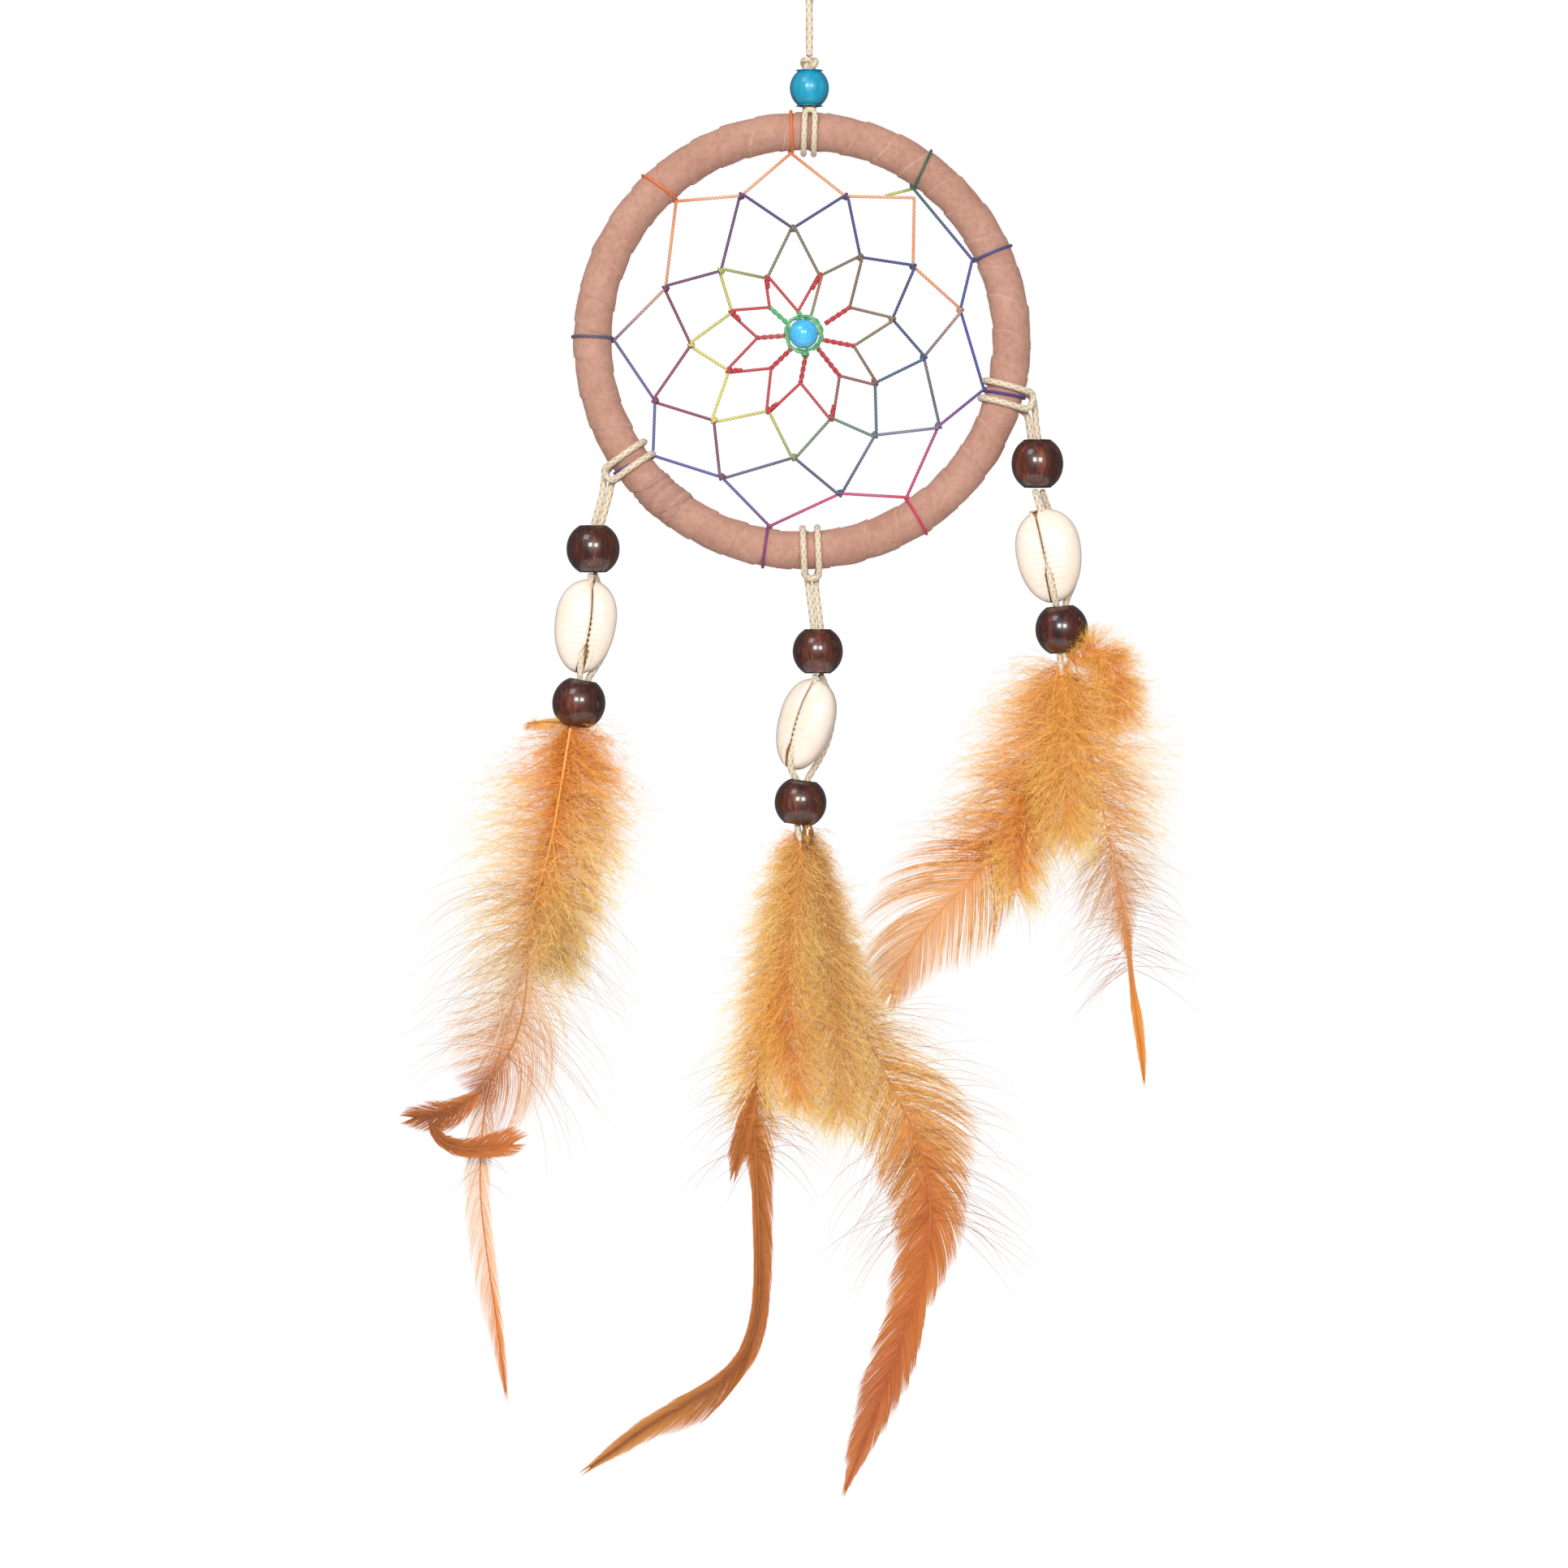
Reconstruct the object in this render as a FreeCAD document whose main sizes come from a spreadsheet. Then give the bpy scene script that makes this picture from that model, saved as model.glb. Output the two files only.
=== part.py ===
"""Dream catcher: a suede-wrapped hoop with a knotted web and three pendants of beads, shells and feathers.

Units are millimetres. The origin is the inside top of the hanging loop's eye. +Z is up, +X is right,
and the front of the hoop faces -Y. Everything hangs from the origin, so all heights are negative.
"""
import FreeCAD, Part
import math
import os

import Sketcher
from FreeCAD import Placement, Rotation, Vector

DIMENSIONS = [
    ("ring_radius", 41.3, "centre of the hoop to the centre of its round section"),
    ("core_radius", 2.4, "round section of the cane ring inside the suede"),
    ("band_radius", 3.7, "outside of the suede wrap"),
    ("wrap_gap", 0.05, "running gap between cane and suede"),
    ("overlap_thickness", 0.45, "glued end turn of the suede, above the wrap"),
    ("overlap_angle", 9.0, "length of that end turn round the hoop, degrees"),
    ("thread_radius", 0.3, "three-ply web thread"),
    ("thread_loop", 4.03, "thread loop round the band, to the thread's centre"),
    ("knot_radius", 0.42, "hitch of the web thread on itself"),
    ("cord_radius", 0.65, "waxed cotton cord of the pendants"),
    ("top_cord_radius", 0.6, "the same cord pulled tight round the top of the hoop"),
    ("top_bead_width", 7.7, "blue bead across"),
    ("top_bead_height", 6.8, "blue bead along its hole"),
    ("top_bead_bore", 2.1, "blue bead's hole, radius"),
    ("centre_bead_radius", 2.9, "round bead in the middle of the web"),
    ("centre_bead_bore", 0.6, "its hole, radius"),
    ("ring_loop_radius", 3.75, "thread ring round the centre bead"),
    ("bead_bore", 2.3, "brown barrel beads' hole, radius"),
    ("top_bead_corner", 1.5, "rounding of the blue bead's ends"),
    ("bead_corner", 2.4, "rounding of the brown beads' ends"),
    ("shell_slit", 2.3, "width of a cowrie's opening"),
    ("shell_wall", 0.4, "floor of that opening, behind the shell's middle plane"),
    ("down_thickness", 6.0, "depth of a bunch of downy barbs"),
    ("vane_thickness", 0.6, "depth of a flat feather"),
    ("top_knot_width", 3.4, "overhand knot across"),
    ("top_knot_height", 3.2, "overhand knot along the cord"),
]

HOOP_CENTRE = (-1.4, 0.0, -91.2)
TOP_BEAD_CENTRE = (0.05, 0.0, -41.4)
TOP_KNOT_CENTRE = (0.05, 0.0, -36.8)
OVERLAP_START_ANGLE = 224.0

# where the thread goes round the hoop, as angles from +X, anticlockwise seen from the front
HOOP_TURNS = {"H1": 93.4, "H2": 132.1, "H3": 179.7, "H4": 219.6, "H5": 260.0, "H6": 303.7,
              "H7": 345.0, "H8": 25.2, "H9": 54.2}
HOOP_TURN_RADIUS = 36.4

# knots of the web, measured from the hoop's centre
KNOTS = {
    "K1a": (-12.0, 28.6), "K1b": (-26.9, 10.4), "K1c": (-29.0, -11.8), "K1d": (-15.8, -26.9),
    "K1e": (7.5, -30.1), "K1f": (26.9, -16.8), "K1g": (31.2, 6.1), "K1i": (8.6, 28.5),
    "K2a": (-1.8, 22.2), "K2b": (-16.0, 13.8), "K2c": (-21.9, -0.8), "K2d": (-17.4, -15.7),
    "K2e": (-1.6, -23.0), "K2f": (14.4, -18.6), "K2g": (24.0, -3.2), "K2i": (11.5, 16.5),
    "K3a": (-6.9, 12.3), "K3b": (-13.8, 5.6), "K3c": (-14.4, -5.9), "K3d": (-6.6, -13.8),
    "K3e": (5.8, -15.2), "K3f": (14.4, -8.3), "K3h": (9.4, 6.6), "K3i": (3.5, 12.8),
    "K4a": (-0.8, 5.8), "K4b": (-6.4, 6.6), "K4c": (-8.8, 0.6), "K4d": (-6.1, -5.4),
    "K4e": (-0.3, -8.3), "K4f": (7.4, -6.9), "K4g": (10.2, -1.0),
    "start": (22.1, 28.2), "P": (21.9, 14.7), "Q": (17.8, 4.3), "tail": (16.4, 28.6),
}
CENTRE_BEAD = (0.3, 1.4)
RING_CORNERS = 8
THREAD_ROUTE = (
    "tail start H9 H8 K1g H7 K1f H6 K1e H5 K1d H4 K1c H3 K1b H2 K1a H1 K1i start P K1g K2g K1f K2f K1e "
    "K2e K1d K2d K1c K2c K1b K2b K1a K2a K1i K2i P Q K2g K3f K2f K3e K2e K3d K2d K3c K2c K3b K2b K3a "
    "K2a K3i K2i K3h Q K4g K3f K4f K3e K4e K3d K4d K3c K4c K3b K4b K3a K4a K3i ring1"
)
# the centre ring's corners are counted anticlockwise from +X; the last span runs through the bead's hole
SPOKES = [("K3h", "ring0"), ("K4g", "ring7"), ("K4f", "ring7"), ("K4e", "ring6"), ("K4d", "ring5"),
          ("K4c", "ring4"), ("K4b", "ring3"), ("K4a", "ring2"), ("ring4", "ring0")]

# the doubled cord that the whole object hangs on, as a closed-topped loop with a small eye
HANGING_CORD = [
    (0.05, -0.72, -35.2), (0.15, -0.75, -30.0), (-0.05, -0.7, -24.4), (-0.5, -0.66, -18.6),
    (-1.9, -0.5, -13.6), (-3.4, -0.25, -9.6), (-4.4, -0.05, -5.4), (-3.9, 0.0, -1.6), (-1.8, 0.0, 0.65),
    (1.8, 0.0, 0.65), (3.9, 0.0, -1.6), (4.4, 0.05, -5.4), (3.4, 0.25, -9.6), (1.9, 0.5, -13.6),
    (0.6, 0.66, -18.6), (0.1, 0.7, -24.4), (-0.1, 0.75, -30.0), (0.05, 0.72, -35.2),
]

# one leg of a cow hitch round the band, from its bight to the back: (outward, forward) from the band's centre
PENDANT_LEG = [(5.6, 1.9), (3.06, 3.65), (-0.41, 4.74), (-3.65, 3.06), (-4.74, -0.41), (-3.06, -3.65),
               (0.41, -4.74), (3.65, -3.06)]
TOP_LEG = [(4.0, 2.8), (1.24, 4.64), (-2.4, 4.16), (-4.64, 1.24), (-4.16, -2.4), (-1.24, -4.64),
           (2.4, -4.16)]

# per hitch: its angle on the hoop, half the space between its legs, one leg, and its two standing ends
HITCHES = {
    "top": (88.0, 1.0, TOP_LEG,
            [(0.79, 0.9, -44.93), (0.72, 0.1, -43.03), (0.7, 0.0, -41.0), (0.71, 0.05, -39.6)],
            [(-0.71, 0.9, -44.93), (-0.64, 0.1, -43.03), (-0.62, 0.0, -41.0), (-0.61, 0.05, -39.6)]),
    "left": (214.8, 1.45, PENDANT_LEG,
             [(-40.5, 0.6, -117.9), (-40.6, 0.2, -120.7)],
             [(-39.0, 0.6, -119.0), (-39.2, 0.2, -120.7)]),
    "centre": (272.4, 1.45, PENDANT_LEG,
               [(-0.3, 0.5, -138.3), (-0.1, 0.2, -139.9)],
               [(1.3, 0.5, -138.3), (1.3, 0.2, -139.9)]),
    "right": (345.0, 1.75, PENDANT_LEG,
              [(43.0, 0.6, -105.6), (43.3, 0.2, -107.2)],
              [(44.4, 0.9, -102.6), (44.6, 0.3, -105.8), (44.7, 0.2, -107.2)]),
}

# per pendant: the straight cords down to its first bead, then the cord through the shell and the one behind it
STRANDS = {
    "left": {
        "upper": [
            [(-40.6, 0.2, -121.3), (-41.7, 0.1, -124.9), (-42.9, 0.0, -129.0), (-43.3, 0.0, -132.4),
             (-43.3, 0.0, -135.6)],
            [(-39.2, 0.2, -121.3), (-40.3, 0.1, -124.9), (-41.5, 0.0, -129.0), (-41.9, 0.0, -132.4),
             (-41.9, 0.0, -135.6)],
        ],
        "front": [(-43.0, -0.5, -137.0), (-43.1, -0.8, -139.6), (-43.8, -1.0, -144.5),
                  (-44.7, -0.9, -150.0), (-45.2, -1.1, -155.0), (-45.1, -0.9, -158.6),
                  (-45.5, -0.7, -163.0), (-46.1, -0.9, -167.6)],
        "back": [(-42.4, 0.8, -137.0), (-41.6, 3.2, -139.2), (-40.3, 4.8, -142.4), (-39.3, 5.0, -146.6),
                 (-39.6, 4.2, -150.8), (-41.6, 2.4, -154.8), (-44.0, 0.9, -158.3), (-45.0, 0.8, -162.8),
                 (-45.9, 0.8, -167.6)],
    },
    "centre": {
        "upper": [
            [(-0.1, 0.2, -140.5), (0.5, 0.1, -144.6), (1.0, 0.0, -149.0), (1.1, 0.0, -152.4),
             (1.0, 0.0, -155.4)],
            [(1.3, 0.2, -140.5), (1.9, 0.1, -144.6), (2.4, 0.0, -149.0), (2.5, 0.0, -152.4),
             (2.4, 0.0, -155.4)],
        ],
        "front": [(1.2, -0.5, -156.9), (1.2, -0.9, -159.4), (0.1, -1.1, -163.4), (-1.3, -1.0, -168.2),
                  (-2.8, -1.1, -172.8), (-3.1, -1.1, -175.8), (-1.7, -0.8, -179.0), (-1.9, -0.7, -182.6),
                  (-2.6, -0.9, -187.0), (-1.6, -1.1, -190.0)],
        "back": [(2.2, 0.8, -156.9), (3.4, 3.2, -159.2), (4.4, 5.2, -162.4), (4.6, 6.0, -166.6),
                 (3.6, 5.4, -170.6), (1.6, 3.4, -174.6), (-0.6, 1.2, -177.8), (-1.2, 0.9, -182.4),
                 (-0.9, -0.5, -187.0), (0.2, -1.0, -190.2)],
    },
    "right": {
        "upper": [
            [(43.3, 0.2, -107.8), (43.8, 0.1, -111.0), (44.3, 0.0, -114.8), (44.3, 0.0, -119.0)],
            [(44.7, 0.2, -107.8), (45.2, 0.1, -111.0), (45.7, 0.0, -114.8), (45.7, 0.0, -119.0)],
        ],
        "front": [(44.4, -0.6, -120.5), (45.2, -0.8, -123.2), (46.3, -1.0, -126.8), (46.9, -1.1, -131.2),
                  (47.6, -1.0, -136.0), (48.2, -1.1, -140.6), (48.9, -0.9, -144.2), (49.5, -0.8, -148.2),
                  (49.2, -0.9, -152.8), (49.9, -1.2, -157.4)],
        "back": [(45.9, 0.8, -120.5), (46.8, 2.4, -123.4), (48.8, 4.6, -127.0), (51.2, 5.2, -131.4),
                 (52.9, 4.0, -135.6), (52.3, 2.9, -139.2), (50.4, 1.1, -142.9), (50.2, 0.9, -148.0),
                 (51.0, -0.2, -152.6), (52.5, -1.1, -157.0)],
    },
}

# per pendant: barrel beads as (centre, width, height, tilt) and shell as (centre, half sizes, tilt)
PENDANTS = {
    "left": {
        "upper_bead": ((-42.6, 0.0, -132.2), 10.5, 9.0, 0.0),
        "lower_bead": ((-45.4, 0.0, -162.6), 10.5, 9.0, 10.0),
        "shell": ((-44.2, 0.0, -147.5), (6.0, 4.2, 8.8), 8.3),
    },
    "centre": {
        "upper_bead": ((1.7, 0.0, -152.4), 9.9, 8.5, 0.0),
        "lower_bead": ((-1.7, 0.0, -182.2), 10.2, 8.6, 8.0),
        "shell": ((-0.9, 0.0, -166.8), (5.5, 4.6, 9.0), 16.6),
    },
    "right": {
        "upper_bead": ((45.0, 0.0, -115.4), 10.2, 9.2, 0.0),
        "lower_bead": ((49.8, 0.0, -148.1), 10.4, 9.0, -5.0),
        "shell": ((47.3, 0.0, -133.6), (6.4, 4.4, 9.0), -7.5),
    },
}

# downy bunches and flat feathers: (outline seen from the front, middle plane, backward lean in degrees)
LEFT_DOWN = [(-50.0, -168.8), (-44.4, -168.8), (-39.8, -173.6), (-32.3, -185.6), (-33.1, -195.2),
             (-41.9, -216.0), (-50.7, -221.6), (-60.3, -220.0), (-70.7, -203.2), (-63.5, -184.0),
             (-53.9, -172.0)]
LEFT_LONG = [(-48.2, -168.3), (-46.9, -168.3), (-49.1, -188.8), (-52.3, -204.8), (-52.6, -219.2),
             (-57.1, -236.0), (-67.5, -245.6), (-65.1, -248.8), (-60.0, -250.4), (-60.3, -251.5),
             (-67.5, -250.9), (-73.1, -248.0), (-73.4, -245.1), (-63.5, -236.0), (-58.1, -224.0),
             (-58.1, -212.8), (-52.0, -190.4)]
LEFT_NARROW = [(-49.4, -168.3), (-48.3, -168.3), (-52.3, -200.0), (-62.6, -240.0), (-63.5, -260.8),
               (-60.0, -286.4), (-59.0, -297.9), (-60.3, -299.2), (-65.1, -273.6), (-66.7, -260.8),
               (-65.4, -240.0), (-53.9, -200.0)]
CENTRE_DOWN = [(-3.5, -191.4), (0.8, -191.4), (7.7, -204.8), (18.1, -222.4), (30.9, -241.6),
               (28.5, -247.2), (10.1, -240.0), (-11.5, -239.2), (-14.4, -225.6), (-11.5, -208.0),
               (-6.7, -194.4)]
CENTRE_CURVED = [(-2.4, -187.5), (-1.4, -187.5), (-1.9, -208.0), (-7.5, -248.0), (-7.5, -280.0),
                 (-9.4, -288.8), (-14.7, -296.3), (-31.0, -306.9), (-43.5, -314.1), (-32.0, -303.2),
                 (-16.6, -292.8), (-12.2, -278.4), (-12.3, -248.0), (-5.1, -208.0)]
CENTRE_BROAD = [(-1.1, -187.5), (-0.1, -187.5), (6.9, -208.0), (18.1, -230.4), (26.9, -244.8),
                (30.6, -256.0), (27.7, -273.6), (21.3, -294.4), (12.0, -312.0), (7.2, -318.1),
                (10.9, -302.4), (16.5, -273.6), (15.4, -254.4), (6.9, -227.2)]
RIGHT_DOWN = [(47.2, -158.7), (56.8, -158.7), (63.2, -160.0), (72.2, -182.4), (70.6, -190.4),
              (54.9, -196.8), (40.8, -207.7), (36.5, -201.6), (24.8, -192.0), (32.8, -174.7)]
RIGHT_WIDE = [(49.1, -153.8), (50.2, -153.8), (46.9, -173.6), (40.2, -193.6), (32.5, -208.0),
              (20.5, -218.4), (16.0, -221.9), (12.0, -208.0), (12.5, -200.8), (32.5, -190.4),
              (42.1, -176.0)]
RIGHT_NARROW = [(50.6, -153.8), (51.7, -153.8), (60.0, -179.2), (64.5, -201.6), (68.5, -232.0),
                (66.4, -237.6), (61.6, -212.8), (55.7, -180.8)]
DOWN_PLANE = -2.0
FEATHERS = {
    "left_down": (LEFT_DOWN, "down_thickness", DOWN_PLANE, 0.0),
    "left_long_feather": (LEFT_LONG, "vane_thickness", 1.8, 0.0),
    "left_narrow_feather": (LEFT_NARROW, "vane_thickness", 4.6, 0.0),
    "centre_down": (CENTRE_DOWN, "down_thickness", DOWN_PLANE, 0.0),
    "centre_broad_feather": (CENTRE_BROAD, "vane_thickness", 1.8, 0.0),
    "centre_curved_feather": (CENTRE_CURVED, "vane_thickness", 3.0, 0.0),
    "right_down": (RIGHT_DOWN, "down_thickness", DOWN_PLANE, 0.0),
    "right_narrow_feather": (RIGHT_NARROW, "vane_thickness", 1.8, 0.0),
    "right_wide_feather": (RIGHT_WIDE, "vane_thickness", 3.0, 8.0),
}

doc = FreeCAD.newDocument("DreamCatcher")
sheet = doc.addObject("Spreadsheet::Sheet", "Sizes")
for row, (alias, value, note) in enumerate(DIMENSIONS, start=1):
    sheet.set(f"A{row}", note)
    sheet.set(f"B{row}", str(value))
    sheet.setAlias(f"B{row}", alias)
doc.recompute()

subparts = []


def size(alias):
    """The number in the sheet's cell."""
    return float(getattr(sheet, alias))


def keep(obj, node):
    """Name the object after its node and put it on the list to export."""
    obj.Label = node
    subparts.append(obj)
    return obj


def bind(obj, **expressions):
    """Tie properties of a feature to cells of the sheet."""
    for prop, expression in expressions.items():
        obj.setExpression(prop, expression)
    return obj


def primitive(kind, name, placement=None, **expressions):
    """A Part primitive whose sizes come from the sheet."""
    obj = doc.addObject(f"Part::{kind}", name)
    bind(obj, **expressions)
    if placement is not None:
        obj.Placement = placement
    return obj


def cut(name, base, tool):
    """A Part cut of one object by another."""
    obj = doc.addObject("Part::Cut", name)
    obj.Base = base
    obj.Tool = tool
    return obj


def tilt(centre, degrees):
    """A placement at centre, turned about Y: positive carries the lower end to the left."""
    return Placement(Vector(*centre), Rotation(Vector(0, 1, 0), degrees))


# ---- tubes for cords: straight runs joined by tangent arcs


def route_wire(points, name):
    """Straight runs with an arc at each inner point, as large as the two runs allow."""
    corners = [Vector(*p) for p in points]
    edges = []
    radii = []
    at = corners[0]
    for before, corner, after in zip(corners, corners[1:], corners[2:]):
        back = before - corner
        ahead = after - corner
        run = min(back.Length, ahead.Length)
        back.normalize()
        ahead.normalize()
        half_turn = (math.pi - back.getAngle(ahead)) / 2
        radii.append(0.45 * run / math.tan(half_turn))
        enter = corner + back * (0.45 * run)
        leave = corner + ahead * (0.45 * run)
        inward = back + ahead
        inward.normalize()
        middle = corner + inward * (radii[-1] * (1 / math.cos(half_turn) - 1))
        edges.append(Part.LineSegment(at, enter).toShape())
        edges.append(Part.Arc(enter, middle, leave).toShape())
        at = leave
    edges.append(Part.LineSegment(at, corners[-1]).toShape())
    wire = Part.Wire(edges)
    print(f"{name}: length {wire.Length:.1f} mm, arc radii", " ".join(f"{r:.1f}" for r in radii))
    return wire


def cord_tube(points, name, radius_cell):
    """A round cord swept along its route."""
    path = doc.addObject("Part::Feature", f"{name}_route")
    path.Shape = route_wire(points, name)
    start = Vector(*points[0])
    section = primitive("Circle", f"{name}_section", Radius=f"Sizes.{radius_cell}")
    section.Placement = Placement(start, Rotation(Vector(0, 0, 1), Vector(*points[1]) - start))
    tube = doc.addObject("Part::Sweep", f"{name}_tube")
    tube.Sections = [section]
    tube.Spine = (path, [f"Edge{i + 1}" for i in range(len(path.Shape.Edges))])
    tube.Solid = True
    tube.Frenet = False
    doc.recompute()
    expected = path.Shape.Length * math.pi * size(radius_cell) ** 2
    if abs(tube.Shape.Volume / expected - 1) > 0.03:
        raise RuntimeError(f"{name}: tube volume {tube.Shape.Volume:.2f}, expected {expected:.2f}")
    return tube


def hoop_point(angle, outward, forward, aside=0.0):
    """A point beside the hoop's round section at an angle, from offsets outward, forward and along it."""
    turn = math.radians(angle)
    reach = size("ring_radius") + outward
    return (HOOP_CENTRE[0] + reach * math.cos(turn) - aside * math.sin(turn),
            -forward,
            HOOP_CENTRE[2] + reach * math.sin(turn) + aside * math.cos(turn))


def hitch_route(angle, spread, leg, first_end, second_end):
    """A cow hitch: up from one standing end, round the band, across the bight, round and down again."""
    first = [hoop_point(angle, u, f, -spread) for u, f in leg]
    second = [hoop_point(angle, u, f, spread) for u, f in leg]
    return first_end[::-1] + first[::-1] + second + second_end


# ---- hoop


def build_hoop():
    """The cane ring, its suede wrap and the wrap's glued end turn."""
    flat = Placement(Vector(*HOOP_CENTRE), Rotation(Vector(1, 0, 0), 90))
    core = primitive("Torus", "core_ring", flat, Radius1="Sizes.ring_radius", Radius2="Sizes.core_radius")
    keep(core, "hoop_core")

    outside = primitive("Torus", "wrap_outside", flat, Radius1="Sizes.ring_radius",
                        Radius2="Sizes.band_radius")
    inside = primitive("Torus", "wrap_inside", flat, Radius1="Sizes.ring_radius",
                       Radius2="Sizes.core_radius + Sizes.wrap_gap")
    keep(cut("wrap", outside, inside), "suede_wrap")

    turn_start = Placement(Vector(*HOOP_CENTRE), Rotation(Vector(0, 1, 0), -OVERLAP_START_ANGLE).multiply(
        Rotation(Vector(1, 0, 0), 90)))
    overlap = primitive("Torus", "overlap_outside", turn_start, Radius1="Sizes.ring_radius",
                        Radius2="Sizes.band_radius + Sizes.overlap_thickness", Angle3="Sizes.overlap_angle")
    under = primitive("Torus", "overlap_inside", turn_start, Radius1="Sizes.ring_radius",
                      Radius2="Sizes.band_radius + 0.03", Angle3="Sizes.overlap_angle")
    keep(cut("overlap", overlap, under), "suede_end_turn")


# ---- web


def web_point(name):
    """A knot of the web in the object's frame."""
    if name in HOOP_TURNS:
        turn = math.radians(HOOP_TURNS[name])
        x, z = HOOP_TURN_RADIUS * math.cos(turn), HOOP_TURN_RADIUS * math.sin(turn)
    elif name.startswith("ring"):
        turn = 2 * math.pi * int(name[4:]) / RING_CORNERS
        x = CENTRE_BEAD[0] + size("ring_loop_radius") * math.cos(turn)
        z = CENTRE_BEAD[1] + size("ring_loop_radius") * math.sin(turn)
    else:
        x, z = KNOTS[name]
    return Vector(HOOP_CENTRE[0] + x, 0, HOOP_CENTRE[2] + z)


def hoop_loop(name, angle):
    """The thread's loop round the band at one turn."""
    turn = math.radians(angle)
    along = Rotation(Vector(0, 0, 1), Vector(-math.sin(turn), 0, math.cos(turn)))
    return primitive("Torus", f"{name}_loop", Placement(Vector(*hoop_point(angle, 0, 0)), along),
                     Radius1="Sizes.thread_loop", Radius2="Sizes.thread_radius")


def build_web():
    """The one long thread: spans between knots, the ring round the bead, and a loop round the band per turn."""
    names = THREAD_ROUTE.split()
    ring = [f"ring{i}" for i in range(RING_CORNERS)]
    pairs = list(zip(names, names[1:])) + list(zip(ring, ring[1:] + ring[:1])) + SPOKES
    spans = list(dict.fromkeys(tuple(sorted(pair)) for pair in pairs))
    radius = size("thread_radius")
    solids = []
    for first, second in spans:
        start, end = web_point(first), web_point(second)
        solids.append(Part.makeCylinder(radius, (end - start).Length, start, end - start))
    for name in sorted({n for span in spans for n in span}):
        solids.append(Part.makeSphere(size("knot_radius"), web_point(name)))
    thread = doc.addObject("Part::Feature", "thread")
    thread.Shape = solids[0].multiFuse(solids[1:])
    keep(thread, "web_thread")

    loops = doc.addObject("Part::Compound", "loops")
    loops.Links = [hoop_loop(name, angle) for name, angle in HOOP_TURNS.items()]
    keep(loops, "web_hoop_loops")

    middle = Vector(HOOP_CENTRE[0] + CENTRE_BEAD[0], 0, HOOP_CENTRE[2] + CENTRE_BEAD[1])
    ball = primitive("Sphere", "centre_ball", Radius="Sizes.centre_bead_radius")
    hole = primitive("Cylinder", "centre_hole", Placement(Vector(-5, 0, 0), Rotation(Vector(0, 1, 0), 90)),
                     Radius="Sizes.centre_bead_bore")
    hole.Height = 10
    bead = cut("centre_bead_body", ball, hole)
    bead.Placement = Placement(middle, Rotation())
    keep(bead, "centre_bead")


# ---- beads, knot and shells


def turned_bead(node, centre, width, height, bore, corner, degrees=0.0):
    """A bead turned about its hole: flat ends, rounded corners and an upright side, from a half section."""
    body = doc.addObject("PartDesign::Body", f"{node}_body")
    plane = next(f for f in body.Origin.OriginFeatures if f.Role == "XZ_Plane")
    sketch = body.newObject("Sketcher::SketchObject", f"{node}_section")
    sketch.AttachmentSupport = (plane, [""])
    sketch.MapMode = "FlatFace"
    half, low = size_of(width) / 2, size_of(height) / 2
    hole, round_ = size(bore), size(corner)
    inner, upright = half - round_, low - round_
    diagonal = round_ * math.sqrt(0.5)
    lines = [
        Part.LineSegment(Vector(hole, -low, 0), Vector(hole, low, 0)),
        Part.LineSegment(Vector(hole, low, 0), Vector(inner, low, 0)),
        Part.Arc(Vector(inner, low, 0), Vector(inner + diagonal, upright + diagonal, 0),
                 Vector(half, upright, 0)),
        Part.LineSegment(Vector(half, upright, 0), Vector(half, -upright, 0)),
        Part.Arc(Vector(half, -upright, 0), Vector(inner + diagonal, -upright - diagonal, 0),
                 Vector(inner, -low, 0)),
        Part.LineSegment(Vector(inner, -low, 0), Vector(hole, -low, 0)),
    ]
    sketch.addGeometry(lines, False)
    ends = [(0, 2, 1, 1), (1, 2, 2, 2), (2, 1, 3, 1), (3, 2, 4, 2), (4, 1, 5, 1), (5, 2, 0, 1)]
    sketch.addConstraint([Sketcher.Constraint("Coincident", *pair) for pair in ends])
    sketch.addConstraint(Sketcher.Constraint("DistanceX", -1, 1, 0, 1, hole))
    sketch.setExpression(f"Constraints[{sketch.ConstraintCount - 1}]", f"Sizes.{bore}")
    revolution = body.newObject("PartDesign::Revolution", f"{node}_turned")
    revolution.Profile = sketch
    revolution.ReferenceAxis = (sketch, ["V_Axis"])
    revolution.Angle = 360
    body.Placement = tilt(centre, degrees)
    return keep(body, node)


def size_of(value):
    """A number as it is, or the sheet's number when given a cell's name."""
    return size(value) if isinstance(value, str) else value


def cowrie(node, centre, half_sizes, degrees):
    """A cowrie as an egg with its long opening cut from the front, which the cord lies in."""
    egg = doc.addObject("Part::Ellipsoid", f"{node}_egg")
    egg.Radius2, egg.Radius3, egg.Radius1 = half_sizes
    egg.Angle1, egg.Angle2, egg.Angle3 = -90, 90, 360
    slit = primitive("Box", f"{node}_slit", Width=f"10 + Sizes.shell_wall", Length="Sizes.shell_slit")
    slit.Height = 4 * half_sizes[2]
    slit.Placement = Placement(Vector(-size("shell_slit") / 2, -10, -2 * half_sizes[2]), Rotation())
    shell = cut(f"{node}_shell", egg, slit)
    shell.Placement = tilt(centre, degrees)
    return keep(shell, node)


# ---- feathers


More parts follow.
